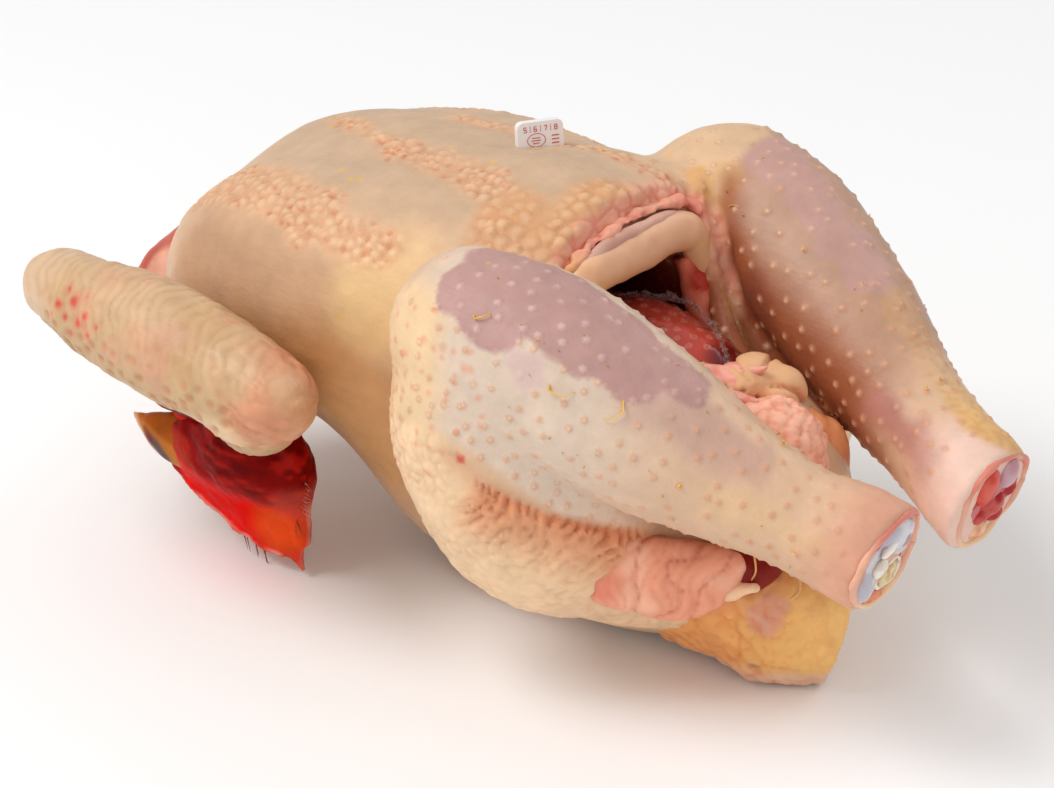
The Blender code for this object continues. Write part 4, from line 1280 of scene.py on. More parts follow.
# %% Salmon flap, with the dark gap behind it
def paint_flap(points, normals):
    x, y, z = points.T
    lines = ridges(points, (0.95, 0.1, -0.35), 0.75, 0.55, 141)
    fine = ridges(points, (0.95, 0.1, -0.35), 0.27, 0.4, 142)
    tint = np.tile(colour(236, 160, 128), (len(points), 1))
    tint = wash(tint, colour(242, 186, 158), 0.7 * ramp(noise(points, 0.7, 143), -0.1, 0.5))
    tint = wash(tint, colour(224, 104, 84), 0.6 * patch(points, (6.7, -4.8, 3.6), (0.7, 0.7, 0.5), soft=0.5, ragged=0.3, seed=139))
    # painted shade in the creases of the coarse and the fine folds
    tint = wash(tint, colour(188, 92, 70), 0.6 * (1 - ramp(lines, 0.1, 0.5)))
    tint = wash(tint, colour(208, 112, 84), 0.4 * (1 - fine))
    return tint


def shape_flap(points, normals):
    lines = ridges(points, (0.95, 0.1, -0.35), 0.75, 0.55, 141)
    fine = ridges(points, (0.95, 0.1, -0.35), 0.27, 0.4, 142)
    return (0.13 * (lines - 0.6) + 0.04 * (fine - 0.5)) * (0.7 + 0.5 * noise(points, 0.9, 145)) + 0.06 * noise(points, 0.6, 144)


clay_piece("salmon_flap", (4.6, -6.4, 1.2), (10.4, -0.6, 6.2), 0.12,
           [(limb([(6.0, -5.0, 4.1, 0.75), (6.9, -4.3, 3.9, 0.95), (7.7, -3.5, 3.8, 0.95), (8.5, -2.9, 3.9, 0.75),
                   (8.95, -2.6, 4.2, 0.4)], 6, flatten=((0.62, -0.75, 0.1), 0.6)), 0.3),
            (limb([(7.6, -3.6, 3.2, 0.5), (8.2, -3.1, 3.1, 0.45), (8.6, -2.9, 3.4, 0.3)], 5), 0.3)],
           paint_flap, relief=shape_flap)
# a dark red lump in the gap behind the flap: flesh colour darkened as painted shade
clay_piece("dark_gap", (6.8, -3.8, 2.2), (10.2, 0.4, 5.2), 0.14,
           [(lump((8.6, -1.7, 3.8), (1.1, 1.0, 0.75)), 0.2)],
           lambda p, n: np.tile(colour(130, 30, 26), (len(p), 1)), finish=neck_finish,
           relief=lambda p, n: 0.06 * noise(p, 0.4, 145))
clay_piece("pale_fat_bit", (8.0, -3.8, 2.6), (10.6, -1.2, 4.8), 0.08,
           [(limb([(8.7, -2.8, 3.3, 0.16), (9.1, -2.6, 3.5, 0.24), (9.6, -2.4, 3.7, 0.12)], 5), 0.1)],
           lambda p, n: np.tile(colour(240, 196, 158), (len(p), 1)), relief=lambda p, n: 0.04 * noise(p, 0.25, 146))

# %% Vent lobes
def rosette(points):
    """Creases that run out like spokes from the middle of the peach lobe."""
    q = points - np.array((7.75, -0.25, 7.75))
    spoke = np.arctan2(q @ (-0.3, 0.34, 0.89), q @ (0.74, 0.67, 0.0))
    bend = spoke * 2.5 + 1.1 * noise(points, 0.9, 163) + 0.8 * np.linalg.norm(q, axis=1)
    return (1 - ramp(np.abs(np.sin(bend)), 0.0, 0.4)) * ramp(np.linalg.norm(q, axis=1), 0.15, 0.5)


def paint_rosette(points, normals):
    tint = np.tile(colour(224, 172, 128), (len(points), 1))
    tint = wash(tint, colour(216, 150, 102), 0.7 * ramp(noise(points, 0.8, 164), 0.0, 0.6))
    # painted shade in the creases of the rosette
    return wash(tint, colour(206, 104, 72), 0.75 * rosette(points) ** 2)


def paint_plain(base, crease, pitch, seed):
    def paint(points, normals):
        near, second, _ = worms(points, pitch, seed)
        tint = np.tile(base, (len(points), 1))
        # painted shade in the creases between the cobbles
        tint = wash(tint, crease, 0.6 * (1 - ramp(second - near, 0.0, pitch * 0.35)))
        return tint * (1 + 0.05 * noise(points, 0.5, seed + 1))[:, None]
    return paint


def worms(points, pitch, seed):
    """Distances to the two nearest of a set of bumps laid over the piece."""
    where = np.ones(len(points), bool)
    pick = staggered(points[:, 1] + 0.4 * points[:, 0], points[:, 2] - 0.3 * points[:, 0], where, pitch, pitch * 0.8, 0.25, 1.0, seed)
    return nearest_two(points, points[pick], where)


def shape_cobbles(pitch, depth, seed):
    def relief(points, normals):
        near, second, _ = worms(points, pitch, seed)
        return depth * (np.clip(1 - (near / (0.8 * pitch)) ** 2, 0, 1) - 0.8 * (1 - ramp(second - near, 0, 0.4 * pitch))) \
            + 0.05 * noise(points, 0.7, seed + 2)
    return relief


clay_piece("pink_vent_lobe", (6.6, -3.0, 3.6), (11.4, 2.4, 8.9), 0.11,
           [(lump((8.65, -0.72, 6.45), (1.3, 1.4, 1.4), (0, 20, 0)), 0.3),
            (lump((9.25, -0.65, 5.3), (0.95, 1.2, 1.3), (0, 0, 0)), 0.5)],
           paint_plain(colour(246, 184, 156), colour(222, 122, 94), 0.28, 151), relief=shape_cobbles(0.28, 0.06, 151))
clay_piece("far_vent_flap", (7.4, -0.8, 2.8), (11.2, 3.4, 8.2), 0.12,
           [(limb([(8.6, 0.75, 6.9, 0.2), (9.05, 1.0, 6.2, 0.5), (9.0, 1.1, 4.9, 0.52), (8.8, 1.0, 3.8, 0.5)], 6), 0.2)],
           paint_plain(colour(224, 146, 96), colour(190, 100, 60), 0.7, 155),
           relief=lambda p, n: 0.08 * (ridges(p, (0.3, 1, 0.2), 0.5, 0.3, 156) - 0.5))
clay_piece("peach_vent_lobe", (6.2, -1.8, 5.8), (10.0, 2.6, 9.4), 0.11,
           [(lump((7.4, 0.15, 7.6), (0.75, 0.95, 0.7), (0, 25, 0)), 0.15),
            (lump((7.95, 0.45, 7.35), (0.7, 0.75, 0.75), (0, 30, 0)), 0.1),
            (lump((7.6, -0.4, 7.75), (0.35, 0.5, 0.35), (0, 30, 0)), 0.08)],
           paint_rosette, relief=lambda p, n: -0.16 * rosette(p) + 0.04 * noise(p, 0.4, 162))
clay_piece("cream_vent_lobe", (5.6, -3.2, 5.4), (9.0, 0.6, 8.2), 0.11,
           [(limb([(6.2, -1.9, 6.5, 0.5), (7.0, -1.4, 6.7, 0.6), (7.8, -1.2, 6.7, 0.5)], 6), 0.2)],
           paint_plain(colour(236, 204, 176), colour(220, 168, 132), 0.5, 165), relief=shape_cobbles(0.4, 0.04, 165))
clay_piece("tongue_lobe", (4.0, -2.2, 6.0), (9.2, 1.4, 9.2), 0.09,
           [(limb([(5.3, -0.5, 7.2, 0.28), (6.0, -0.6, 7.5, 0.4), (6.8, -0.6, 7.68, 0.43), (7.35, -0.6, 7.72, 0.34)], 6), 0.1),
            (limb([(7.1, -0.85, 7.5, 0.26), (7.7, -0.85, 7.6, 0.19), (8.4, -0.75, 7.75, 0.06)], 6), 0.06),
            (limb([(7.0, -0.25, 7.95, 0.2), (7.6, -0.2, 8.1, 0.15), (8.0, -0.15, 8.3, 0.07)], 6), 0.06)],
           paint_plain(colour(234, 166, 148), colour(216, 110, 92), 0.4, 171),
           relief=lambda p, n: 0.03 * noise(p, 0.3, 172))


# %% [markdown]
# ## The opening
# At the cut the body wall shows its layers. Under the pink gathered edge of
# the skin lies a strip of breast muscle, and inside that a thick smooth peach
# layer that arches over the hollow and runs down the far side. Each layer is a
# band swept along the arch, so that its edges stay crisp.

# %% A band swept along a path
def swept(knots, up, sides=14, steps=8, ripple=0.0, seed=0):
    """A closed oval bar through rows of x, y, z, half width, half thickness; width lies along up."""
    route = smooth_route(knots, steps)
    count = len(route)
    place = route[:, :3]
    ahead = np.gradient(place, axis=0)
    ahead /= np.maximum(np.linalg.norm(ahead, axis=1), 1e-6)[:, None]
    wide = np.array(up, float) - ahead * (ahead @ np.array(up, float))[:, None]
    wide /= np.linalg.norm(wide, axis=1)[:, None]
    thick = np.cross(ahead, wide)
    angle = np.linspace(0, 2 * math.pi, sides, endpoint=False)
    rings = (place[:, None] + wide[:, None] * (route[:, 3:4] * np.cos(angle))[..., None]
             + thick[:, None] * (route[:, 4:5] * np.sin(angle))[..., None])
    points = np.vstack([rings.reshape(-1, 3), place[:1], place[-1:]])
    k = np.arange(sides)
    j = (k + 1) % sides
    tris = []
    for i in range(count - 1):
        a, b = i * sides, (i + 1) * sides
        tris += [np.stack([a + k, a + j, b + j], 1), np.stack([a + k, b + j, b + k], 1)]
    first, last = count * sides, count * sides + 1
    end = (count - 1) * sides
    tris += [np.stack([j, k, np.full(sides, first)], 1), np.stack([end + k, end + j, np.full(sides, last)], 1)]
    tris = np.vstack(tris)
    a, b, c = points[tris[:, 0]], points[tris[:, 1]], points[tris[:, 2]]
    if (a * np.cross(b, c)).sum() < 0:
        tris = tris[:, ::-1]
    if ripple:
        points = points + normals_of(points, tris) * (ripple * noise(points, 0.35, seed))[:, None]
    return points, tris


MOUTH_UP = (-0.24, 0, 0.97)
band_finish = moist_finish("wall_fat", roughness=0.36, scatter=0.15, coat=0.15, grain=0.1, mottle=0.04)

# %% Layers of the body wall
points, tris = swept([(3.55, -2.2, 9.15, 0.45, 0.3), (3.5, -1.7, 9.74, 0.5, 0.32), (3.5, -0.8, 9.88, 0.53, 0.33),
                      (3.5, 0.5, 9.92, 0.55, 0.34), (3.5, 1.6, 9.98, 0.55, 0.36), (3.55, 2.3, 9.68, 0.5, 0.36),
                      (3.7, 2.6, 8.8, 0.36, 0.34), (3.85, 2.6, 8.0, 0.26, 0.3), (4.0, 2.45, 7.2, 0.2, 0.25)],
                     (-0.2, 0.35, 0.97), 28, 14, 0.03, 201)
tint = np.tile(colour(224, 172, 128), (len(points), 1))
tint = wash(tint, colour(236, 184, 126), ramp(-points[:, 1], 0.5, 1.8))
# painted light: the top of the band is lighter
tint = wash(tint, colour(232, 182, 150), 0.7 * ramp(points[:, 2], 9.6, 9.95))
tint = wash(tint, colour(206, 110, 88), 0.8 * (1 - ramp(points[:, 2], 7.6, 9.0)) * ramp(points[:, 1], 1.5, 2.4))
tint = wash(tint, colour(214, 140, 104), 0.5 * (1 - ramp(points[:, 2] + 0.05 * noise(points, 0.3, 202), 9.22, 9.4)) * (1 - ramp(points[:, 1], 1.6, 2.2)))
make_piece("meat_edge", points, tris, band_finish, tint)

points, tris = swept([(3.42, -1.9, 9.95, 0.24, 0.16), (3.4, -0.8, 10.36, 0.22, 0.17), (3.4, 0.4, 10.42, 0.18, 0.17),
                      (3.4, 1.5, 10.46, 0.13, 0.16), (3.42, 2.2, 10.25, 0.08, 0.12)], MOUTH_UP, 18, 12, 0.03, 203)
tint = np.tile(colour(214, 168, 150), (len(points), 1))
tint = wash(tint, colour(200, 146, 128), 0.6 * ramp(noise(points, 0.5, 204), -0.2, 0.6))
make_piece("muscle_strip", points, tris, neck_finish, tint)

points, tris = swept([(3.0, -2.5, 9.2, 0.16, 0.2), (3.15, -1.95, 10.12, 0.13, 0.22), (3.1, -0.8, 10.52, 0.12, 0.24),
                      (3.1, 0.8, 10.66, 0.12, 0.24), (3.15, 2.2, 10.55, 0.13, 0.22), (3.35, 2.9, 9.95, 0.16, 0.2),
                      (3.6, 3.1, 8.8, 0.2, 0.2), (3.95, 3.0, 7.6, 0.15, 0.18)], MOUTH_UP, 20, 34, 0.0, 205)
normals = normals_of(points, tris)
lumps = noise(points, 0.3, 206) + 0.6 * noise(points, 0.16, 207)
points = points + normals * (0.11 * lumps)[:, None]
tint = np.tile(colour(230, 162, 136), (len(points), 1))
tint = wash(tint, colour(222, 122, 104), 0.6 * ramp(points[:, 1], 1.4, 2.6))
# painted shade in the troughs between the lumps
tint = wash(tint, colour(206, 96, 90), 0.5 * ramp(-lumps, 0.1, 0.7))
tint = wash(tint, colour(224, 170, 112), 0.8 * ramp(-points[:, 1], 1.4, 2.2))
make_piece("opening_rim", points, tris, skin_finish, tint)

points, tris = swept([(3.4, 2.2, 9.1, 0.3, 0.3), (3.7, 2.35, 8.3, 0.42, 0.4), (4.1, 2.3, 7.4, 0.45, 0.4), (4.6, 2.0, 6.8, 0.3, 0.3)],
                     (1, 0, 0), 16, 10, 0.08, 208)
tint = np.tile(colour(176, 56, 40), (len(points), 1))
tint = wash(tint, colour(208, 112, 86), ramp(noise(points, 0.5, 209), 0.0, 0.5))
make_piece("far_inner_wall", points, tris, neck_finish, tint)

# %% [markdown]
# ## The bag of giblets
# Liver, heart and gizzard lie in the hollow in a perforated clear bag. Film
# that clings to wet meat looks like the meat with a hard shine, so the bag is
# a dark red parcel under a strong clear coat. The punched holes are small
# raised rings, and the bag's torn edge stands up as a crumpled strip of film.

# %% Giblets
film_over_meat = moist_finish("film_over_meat", roughness=0.24, scatter=0.05, coat=0.7, grain=0.5, grain_size=300.0, mottle=0.2)
film_over_meat.node_tree.nodes["Principled BSDF"].inputs["Coat Roughness"].default_value = 0.08
giblets = Clay((-2.8, -2.2, 5.2), (7.4, 2.8, 9.0), 0.13)
giblets.add(lump((0.6, 0.4, 6.75), (2.6, 1.5, 1.35), (0, -4, 6)), 0.3)
giblets.add(lump((3.4, 0.55, 6.85), (2.4, 1.75, 1.4), (0, 3, -5)), 0.3)
giblets.add(lump((5.0, 0.75, 6.8), (1.45, 1.3, 1.05), (0, 8, 0)), 0.3)
points, tris = skin_of(giblets, lambda p: np.where(p[:, 0] > 1.5, 0.075, 0.16))
normals = normals_of(points, tris)
exposed = points[:, 2] > 6.8
holes = points[staggered(points[:, 0], points[:, 1], exposed & (points[:, 0] > 1.5), 0.42, 0.36, 0.12, 0.95, 211)]
gap, _, which = nearest_two(points, holes, exposed)
ring = np.clip(1 - ((gap - 0.06) / 0.04) ** 2, 0, 1)
crumple = 1 - np.abs(noise(points, 0.55, 212)) ** 0.5
height = 0.04 * noise(points, 0.9, 213) + 0.025 * ring + 0.035 * crumple
points = points + normals * height[:, None]
tint = np.tile(colour(176, 60, 46), (len(points), 1))
tint = wash(tint, colour(116, 20, 16), ramp(noise(points, 1.3, 214), 0.0, 0.6))
tint = wash(tint, colour(186, 78, 60), 0.6 * ramp(noise(points, 1.1, 215), 0.1, 0.6))
# painted highlight: the rings of the punched holes are pale
tint = wash(tint, colour(214, 150, 136), 0.35 * ring)
bag = make_piece("bagged_giblets", points, tris, film_over_meat, tint)
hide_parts("giblets")

# %% The torn edge of the film
film = bpy.data.materials.new("clear_film")
film.use_nodes = True
film_shader = film.node_tree.nodes["Principled BSDF"]
film_shader.inputs["Base Color"].default_value = (0.8, 0.5, 0.46, 1)
film_shader.inputs["Roughness"].default_value = 0.12
film_shader.inputs["Alpha"].default_value = 0.13
film_noise = film.node_tree.nodes.new("ShaderNodeTexNoise")
film_noise.inputs["Scale"].default_value = 500.0
film_bump = film.node_tree.nodes.new("ShaderNodeBump")
film_bump.inputs["Strength"].default_value = 0.6
film_bump.inputs["Distance"].default_value = 0.0006
film.node_tree.links.new(film_noise.outputs["Fac"], film_bump.inputs["Height"])
film.node_tree.links.new(film_bump.outputs["Normal"], film_shader.inputs["Normal"])
EDGE = smooth_route([(2.4, 1.0, 8.1), (3.1, 1.4, 8.2), (3.9, 1.75, 8.15), (4.5, 1.6, 8.1), (5.2, 1.3, 7.95), (5.9, 0.9, 7.65),
                     (6.3, 0.5, 7.3)], 14)
rng = np.random.default_rng(221)
rows = 5
count = len(EDGE)
lift = 0.12 + 0.14 * rng.random(count)
strip = []
for r in range(rows):
    share = r / (rows - 1)
    sway = 0.12 * np.sin(np.arange(count) * 1.9 + r) * share
    strip.append(EDGE + np.stack([0.05 + sway, -0.10 + 0.06 * rng.normal(0, 1, count) * share + 0 * sway, share * lift - 0.08], 1))
strip = np.vstack(strip)
quads = [(r * count + i, r * count + i + 1, (r + 1) * count + i + 1, (r + 1) * count + i)
         for r in range(rows - 1) for i in range(count - 1)]
film_edge = make_piece("film_edge", strip, quads, film)
thick = film_edge.modifiers.new("film thickness", "SOLIDIFY")
thick.thickness = 0.0002


# %% [markdown]
# ## Cut hocks
# The feet come off through the joint. The near cut shows the end of the bone:
# bluish white cartilage with a brownish oval, chips of bone, a yellow core of
# marrow, and the skin drawn round it as a rim. The far cut is meatier: red
# muscle, a lilac cap of cartilage and a pocket of fat.

# %% Places on a cut face
def on_face(side, across, up, out=0.0):
    """A point on a hock's cut face, from its middle, in centimetres."""
    middle, heading = hock_faces[side]
    rise = np.array([0, 0, 1.0]) - heading * heading[2]
    rise /= np.linalg.norm(rise)
    right = np.cross(rise, heading)
    return middle + right * across + rise * up + heading * out


def face_lump(side, across, up, out, radii, turn=0):
    """An ellipsoid lying in the cut face: radii across, up and out of it."""
    middle, heading = hock_faces[side]
    rise = np.array([0, 0, 1.0]) - heading * heading[2]
    rise /= np.linalg.norm(rise)
    right = np.cross(rise, heading)
    c, s = math.cos(math.radians(turn)), math.sin(math.radians(turn))
    axes = np.stack([right * c + rise * s, rise * c - right * s, heading], 1).astype(np.float32)
    place, size = on_face(side, across, up, out).astype(np.float32), np.array(radii, np.float32)

    def distance(points):
        q = (points - place) @ axes
        k0 = np.linalg.norm(q / size, axis=-1)
        k1 = np.linalg.norm(q / (size * size), axis=-1)
        return k0 * (k0 - 1) / np.maximum(k1, 1e-6)

    return distance, place - max(radii), place + max(radii)


def face_piece(name, side, lumps, paint, finish, step=0.07, blend=0.08, rough=0.02, seed=1):
    low = np.min([on_face(side, *entry[:2]) for entry in lumps], 0) - 1.5
    high = np.max([on_face(side, *entry[:2]) for entry in lumps], 0) + 1.5
    clay = Clay(low, high, step)
    for entry in lumps:
        clay.add(face_lump(side, *entry), blend)
    points, tris = skin_of(clay, lambda p: np.full(len(p), step * 0.95))
    normals = normals_of(points, tris)
    points = points + normals * (rough * noise(points, 0.28, seed) + 0.5 * rough * noise(points, 0.12, seed + 1))[:, None]
    return make_piece(name, points, tris, finish, paint(points))


def plain(shade, other=None, size=0.3, seed=5):
    def paint(points):
        tint = np.tile(shade, (len(points), 1))
        if other is not None:
            tint = wash(tint, other, ramp(noise(points, size, seed), -0.2, 0.5))
        return tint
    return paint


# %% Near hock
bone_finish = moist_finish("cartilage", roughness=0.26, scatter=0.15, coat=0.3, grain=0.15, mottle=0.05)
HOCK_RADIUS = 1.42
for side, name in ((NEAR, "near_hock_rim"), (FAR, "far_hock_rim")):
    rows = []
    for k in range(13):
        angle = 2 * math.pi * k / 12
        r = HOCK_RADIUS * (0.9 + (0.05 * math.sin(3 * angle + side)))
        rows.append((*on_face(side, r * math.cos(angle), r * math.sin(angle), -0.02), 0.1, 0.09))
    points, tris = swept(rows, hock_faces[side][1], 14, 8, 0.05, 231)
    q = points - hock_faces[side][0]
    tint = np.tile(colour(228, 172, 146), (len(points), 1))
    tint = wash(tint, colour(212, 96, 88), 0.6 * ramp(q[:, 2] + 0.6 * noise(points, 0.3, 229), 0.5, 1.1))
    tint = wash(tint, colour(240, 204, 160), 0.8 * ramp(-q[:, 2], 0.5, 1.1))
    make_piece(name, points, tris, skin_finish, tint)

face_piece("near_hock_flesh", NEAR, [(0, 0, -0.26, (1.28, 1.3, 0.32))], plain(colour(226, 172, 150), colour(214, 116, 98), 0.3, 233), neck_finish, seed=232)
face_piece("near_cartilage", NEAR, [(0.15, 0.72, -0.06, (0.72, 0.45, 0.26), -12), (-0.5, 0.15, -0.1, (0.45, 0.62, 0.22), 6),
                                    (-0.62, -0.5, -0.08, (0.42, 0.55, 0.22), 14), (0.5, 0.3, -0.08, (0.4, 0.45, 0.22), 20),
                                    (-0.15, -0.2, -0.12, (0.3, 0.5, 0.2), 30)],
           plain(colour(214, 210, 214), colour(186, 182, 192), 0.35, 235), bone_finish, blend=0.1, rough=0.035, seed=234)
face_piece("cartilage_oval", NEAR, [(0.4, 0.55, 0.13, (0.22, 0.22, 0.06), -15)], plain(colour(168, 140, 146)), bone_finish, step=0.05, seed=236)
face_piece("bone_chip", NEAR, [(-0.35, 0.62, 0.12, (0.34, 0.14, 0.12), 25), (-0.5, 0.12, 0.14, (0.28, 0.28, 0.13), -12)],
           plain(colour(242, 236, 226), colour(228, 216, 200), 0.2, 238), bone_finish, step=0.05, blend=0.03, rough=0.04, seed=237)
face_piece("marrow", NEAR, [(0.32, -0.5, 0.0, (0.42, 0.32, 0.15), 0)], plain(colour(226, 204, 158), colour(204, 172, 116), 0.1, 240), skin_finish, step=0.05, rough=0.05, seed=239)
points, tris = swept([(*on_face(NEAR, 0.32 + 0.5 * math.cos(a), -0.5 + 0.4 * math.sin(a), 0.02), 0.05, 0.05)
                      for a in np.linspace(0.4, 2 * math.pi + 0.2, 12)], hock_faces[NEAR][1], 10, 6, 0.03, 241)
make_piece("marrow_ring", points, tris, bone_finish, np.tile(colour(236, 226, 214), (len(points), 1)))
face_piece("near_hock_fat", NEAR, [(-0.1, -1.0, -0.02, (0.22, 0.16, 0.14), 0), (0.2, -1.12, -0.02, (0.2, 0.13, 0.12), 0),
                                   (-0.4, -0.95, -0.04, (0.16, 0.14, 0.12), 0)],
           plain(colour(236, 166, 128), colour(226, 128, 96), 0.2, 243), skin_finish, step=0.06, blend=0.03, seed=242)
face_piece("near_hock_blood", NEAR, [(0.72, -0.1, -0.08, (0.1, 0.34, 0.1), 8), (-0.62, 0.85, -0.08, (0.1, 0.3, 0.12), -30)],
           plain(colour(186, 60, 48), colour(210, 120, 100), 0.2, 228), neck_finish, step=0.07, seed=244)

# %% Far hock
face_piece("far_hock_flesh", FAR, [(0, 0, -0.26, (1.28, 1.28, 0.34))], plain(colour(210, 120, 116), colour(176, 62, 62), 0.35, 246), neck_finish, seed=245)
face_piece("far_muscle_oval", FAR, [(-0.42, 0.52, 0.0, (0.36, 0.56, 0.22), -8)], plain(colour(212, 74, 62), colour(220, 104, 90), 0.25, 248), neck_finish, seed=247)
face_piece("far_cartilage", FAR, [(0.34, 0.66, 0.02, (0.34, 0.44, 0.24), 0), (0.02, 0.3, -0.04, (0.12, 0.5, 0.16), -20)],
           plain(colour(202, 172, 182), colour(190, 130, 140), 0.4, 250), bone_finish, seed=249)
face_piece("far_dark_muscle", FAR, [(0.0, -0.25, -0.02, (0.62, 0.4, 0.22), 15), (0.66, 0.25, -0.04, (0.26, 0.5, 0.2), 0), (0.3, -0.6, -0.04, (0.3, 0.24, 0.2), 0)], plain(colour(168, 40, 44), colour(198, 88, 80), 0.25, 252), neck_finish, rough=0.06, seed=251)
face_piece("far_hock_fat", FAR, [(-0.15, -0.95, -0.06, (0.4, 0.24, 0.2), 0)], plain(colour(240, 192, 152), colour(224, 150, 116), 0.2, 254), skin_finish, seed=253)


# %% [markdown]
# ## Clip tag
# A white plastic tag is pinned through the breast skin. Its body is the CAD
# node and keeps its shape; what is printed on the real one is replaced by
# plain numbers in a ruled row and a plain ring, cut as thin raised print.

# %% Tag plastic
plastic = bpy.data.materials.new("white_tag_plastic")
plastic.use_nodes = True
shader = plastic.node_tree.nodes["Principled BSDF"]
haze = plastic.node_tree.nodes.new("ShaderNodeTexNoise")
haze.inputs["Scale"].default_value = 220.0
haze_tone = plastic.node_tree.nodes.new("ShaderNodeMapRange")
haze_tone.inputs["To Min"].default_value = 0.3
haze_tone.inputs["To Max"].default_value = 0.42
plastic.node_tree.links.new(haze.outputs["Fac"], haze_tone.inputs["Value"])
plastic.node_tree.links.new(haze_tone.outputs["Result"], shader.inputs["Roughness"])
shader.inputs["Base Color"].default_value = (*colour(240, 236, 234), 1)
shader.inputs["Subsurface Weight"].default_value = 0.1
shader.inputs["Subsurface Scale"].default_value = 0.002
tag = bpy.data.objects["clip_tag"]
for slot in tag.material_slots:
    slot.material = plastic

# %% Print on the tag
tag_points = np.array([v.co[:] for v in tag.data.vertices]) / CM
TAG_HEADING, TAG_LEAN = math.radians(61), math.radians(-8)
along_tag = np.array([math.cos(TAG_HEADING), math.sin(TAG_HEADING), 0])
face_out = np.array([math.sin(TAG_HEADING), -math.cos(TAG_HEADING), 0])
tag_up = np.array([0, 0, 1.0])
tag_up = tag_up * math.cos(TAG_LEAN) + face_out * -math.sin(TAG_LEAN) * -1
tag_up /= np.linalg.norm(tag_up)
face_out = np.cross(along_tag, tag_up)
middle = tag_points.mean(0)
reach_out = ((tag_points - middle) @ face_out).max()
print("tag face stands", round(float(reach_out), 3), "cm from its middle")
red = bpy.data.materials.new("red_print")
red.use_nodes = True
red_shader = red.node_tree.nodes["Principled BSDF"]
red_shader.inputs["Roughness"].default_value = 0.5
ink = red.node_tree.nodes.new("ShaderNodeTexNoise")
ink.inputs["Scale"].default_value = 1500.0
ink_tone = red.node_tree.nodes.new("ShaderNodeMix")
ink_tone.data_type = "RGBA"
ink_tone.inputs["A"].default_value = (*colour(196, 60, 62), 1)
ink_tone.inputs["B"].default_value = (*colour(214, 92, 92), 1)
red.node_tree.links.new(ink.outputs["Fac"], ink_tone.inputs["Factor"])
red.node_tree.links.new(ink_tone.outputs["Result"], red_shader.inputs["Base Color"])


def stroke(path, width=0.022):
    """A printed line on the tag face: path in centimetres along and up from the middle."""
    rows = [(*(middle + along_tag * a + tag_up * b + face_out * (reach_out + 0.004)), width, 0.008) for a, b in path]
    if len(rows) == 2:
        rows.insert(1, tuple((np.array(rows[0]) + np.array(rows[1])) / 2))
    route = np.array(rows)
    ahead = np.gradient(route[:, :3], axis=0)
    wide = np.cross(ahead[0], face_out)
    return swept(rows, wide, 6, 3)


SEGMENTS = {"5": [(1, 2), (-1, 2), (-1, 0), (1, 0), (1, -2), (-1, -2)], "6": [(1, 2), (-1, 2), (-1, -2), (1, -2), (1, 0), (-1, 0)],
            "7": [(-1, 2), (1, 2), (0, -2)], "8": [(-1, 0), (-1, 2), (1, 2), (1, -2), (-1, -2), (-1, 0), (1, 0)]}
parts = []
for n, digit in enumerate("5678"):
    centre = -0.42 + 0.28 * n
    parts += [stroke([(centre + 0.035 * a, 0.36 + 0.032 * b) for a, b in pair], 0.011)
              for pair in zip(SEGMENTS[digit], SEGMENTS[digit][1:])]
    if n:
        parts.append(stroke([(centre - 0.14, 0.28), (centre - 0.14, 0.45)], 0.007))
for radius in (0.2,):
    loop = [(-0.12 + 1.25 * radius * math.cos(a), 0.06 + radius * 0.9 * math.sin(a)) for a in np.linspace(0, 2 * math.pi, 15)]
    parts += [stroke(list(pair), 0.009) for pair in zip(loop, loop[1:])]
for row, (first, last) in enumerate(((-0.24, -0.02), (-0.26, 0.0), (-0.22, -0.04))):
    parts.append(stroke([(first, 0.12 - 0.07 * row), (last, 0.12 - 0.07 * row)], 0.012))
for row in range(3):
    parts.append(stroke([(0.3, 0.14 - 0.1 * row), (0.5, 0.14 - 0.1 * row)], 0.016))
offset, all_points, all_tris = 0, [], []
for part_points, part_tris in parts:
    all_points.append(part_points)
    all_tris.append(part_tris + offset)
    offset += len(part_points)
make_piece("tag_print", np.vstack(all_points), np.vstack(all_tris), red)


# %% [markdown]
# ## Shreds, strings and bristles
# Scalding leaves curled yellow shreds of outer skin on the legs, and threads
# of torn tissue hang by the tail. The cheeks keep a few stiff bristles and a
# fringe of fine hairs. All of them are thin tapered bars; many are one piece.

# %% Thin curled bars
def bunch(name, bars, finish, shade):
    offset, all_points, all_tris = 0, [], []
    for bar_points, bar_tris in bars:
        all_points.append(bar_points)
        all_tris.append(bar_tris + offset)
        offset += len(bar_points)
    points = np.vstack(all_points)
    tint = np.tile(shade, (len(points), 1)) * (1 + 0.15 * noise(points, 0.3, 301))[:, None]
    return make_piece(name, points, np.vstack(all_tris), finish, tint)


body_mesh = skin.data
skin_points = np.array([v.co[:] for v in body_mesh.vertices]) / CM
skin_tree = kdtree.KDTree(len(skin_points))
for n, p in enumerate(skin_points):
    skin_tree.insert(p, n)
skin_tree.balance()
skin_normals = np.array([v.normal[:] for v in body_mesh.vertices])


def on_skin(point, lift=0.02):
    spot, n, _ = skin_tree.find(point)
    return skin_points[n] + skin_normals[n] * lift, skin_normals[n]


def shred(start, heading, length, curl, width, rng, lift=0.05):
    """A curled thread that starts on the skin and lies along it."""
    place, normal = on_skin(start)
    heading = np.array(heading, float)
    rows = []
    count = 7
    for k in range(count):
        share = k / (count - 1)
        spot, normal = on_skin(place, 0.015 + lift * math.sin(math.pi * share))
        if rows and np.linalg.norm(spot - rows[-1][:3]) > 2.5 * length / count:
            break
        rows.append((*spot, width * (1 - 0.75 * share), width * 0.5 * (1 - 0.6 * share)))
        side = np.cross(normal, heading)
        heading = heading + side * curl * (0.6 + 0.8 * rng.random())
        heading -= normal * (heading @ normal)
        heading /= np.linalg.norm(heading)
        place = spot + heading * length / count
    return swept(rows, normal, 6, 3) if len(rows) > 2 else None


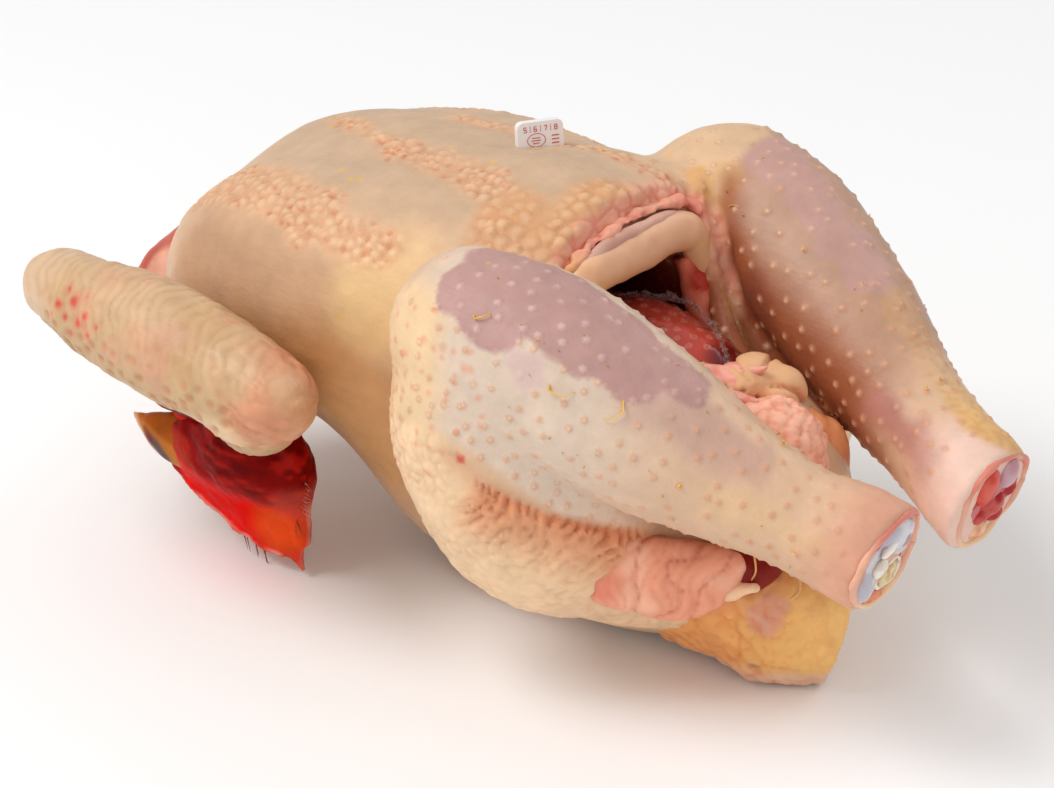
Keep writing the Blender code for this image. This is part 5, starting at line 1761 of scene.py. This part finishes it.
rng = np.random.default_rng(311)
bars = []
for side in (NEAR, FAR):
    knee, hock = on_side(KNEE, side), on_side(HOCK, side)
    for k in range(34 if side == NEAR else 26):
        share = 0.08 + 0.85 * rng.random() ** 0.75
        angle = rng.uniform(-0.9, 1.9)
        t = along(knee, hock, share) + 2.2 * np.array([0, side * math.sin(angle), math.cos(angle)])
        bars.append(shred(t, rng.normal(0, 1, 3), rng.uniform(0.14, 0.46), rng.uniform(-0.9, 0.9), rng.uniform(0.016, 0.032), rng))
# the three long shreds of the near drumstick
for spot, length, curl in (((6.3, -6.2, 9.6), 1.0, 0.35), ((7.8, -5.4, 9.3), 0.7, -0.3), ((4.0, -6.3, 10.6), 0.5, 0.5)):
    bars.append(shred(spot, (0.3, -0.2, -0.8), length, curl, 0.045, rng, 0.1))
shred_finish = moist_finish("cuticle", roughness=0.45, scatter=0.1, coat=0.1, grain=0.1, mottle=0.15)
bunch("cuticle_shreds", [bar for bar in bars if bar], shred_finish, colour(236, 186, 76))

strings = [swept([(9.0, -2.6, 4.5, 0.03, 0.03), (9.25, -2.7, 4.0, 0.03, 0.03), (8.9, -3.0, 3.5, 0.04, 0.03), (8.4, -3.1, 3.1, 0.02, 0.02)], (1, 0, 0), 6, 5),
           swept([(9.4, -2.2, 4.5, 0.03, 0.03), (9.55, -2.3, 4.1, 0.03, 0.02), (9.45, -2.35, 3.8, 0.02, 0.02)], (1, 0, 0), 6, 5),
           swept([(10.2, -1.4, 3.9, 0.05, 0.03), (10.3, -1.5, 3.5, 0.05, 0.03), (10.1, -1.55, 3.2, 0.03, 0.02)], (1, 0, 0), 6, 5)]
bunch("tissue_strings", strings, shred_finish, colour(232, 176, 110))


# %% Bristles
def bristle(root, tip, width, bend, rng):
    root, tip = np.array(root, float), np.array(tip, float)
    sag = (root + tip) / 2 + rng.normal(0, bend, 3)
    return swept([(*root, width, width), (*sag, width * 0.8, width * 0.8), (*tip, width * 0.3, width * 0.3)], (0, 1, 0), 5, 4)


bristles, hairs = [], []
for k in range(9):
    start = np.array([-6.5 + 0.19 * k, -5.0, 1.3 - 0.07 * k])
    bristles.append(bristle(start, start + (0.2 + 0.3 * rng.random(), -0.1, -0.6 - 0.4 * rng.random()), 0.022, 0.03, rng))
for k in range(6):
    start = np.array([-3.75 + 0.05 * k, -5.2, 2.1])
    bristles.append(bristle(start, start + (0.3 + 0.2 * rng.random(), -0.15, -0.35 - 0.3 * rng.random()), 0.016, 0.03, rng))
for k in range(40):
    share = rng.random()
    start = np.array([-7.9 + 3.0 * share, -5.0, 1.9 - 1.15 * share])
    hairs.append(bristle(start, start + (-0.22 + 0.15 * rng.random(), 0.0, -0.22 - 0.2 * rng.random()), 0.007, 0.05, rng))
for k in range(22):
    start = np.array([-3.1 - 0.2 * rng.random(), -5.2, 2.2 + 1.0 * rng.random()])
    hairs.append(bristle(start, start + (0.28 + 0.15 * rng.random(), -0.05, rng.uniform(-0.25, 0.1)), 0.006, 0.05, rng))
for bar_points, _ in bristles + hairs:
    bar_points[:, 2] = np.maximum(bar_points[:, 2], 0.03)
bunch("bristles", bristles, beak_finish, colour(140, 56, 22))
bunch("fine_hairs", hairs, beak_finish, colour(214, 160, 140))
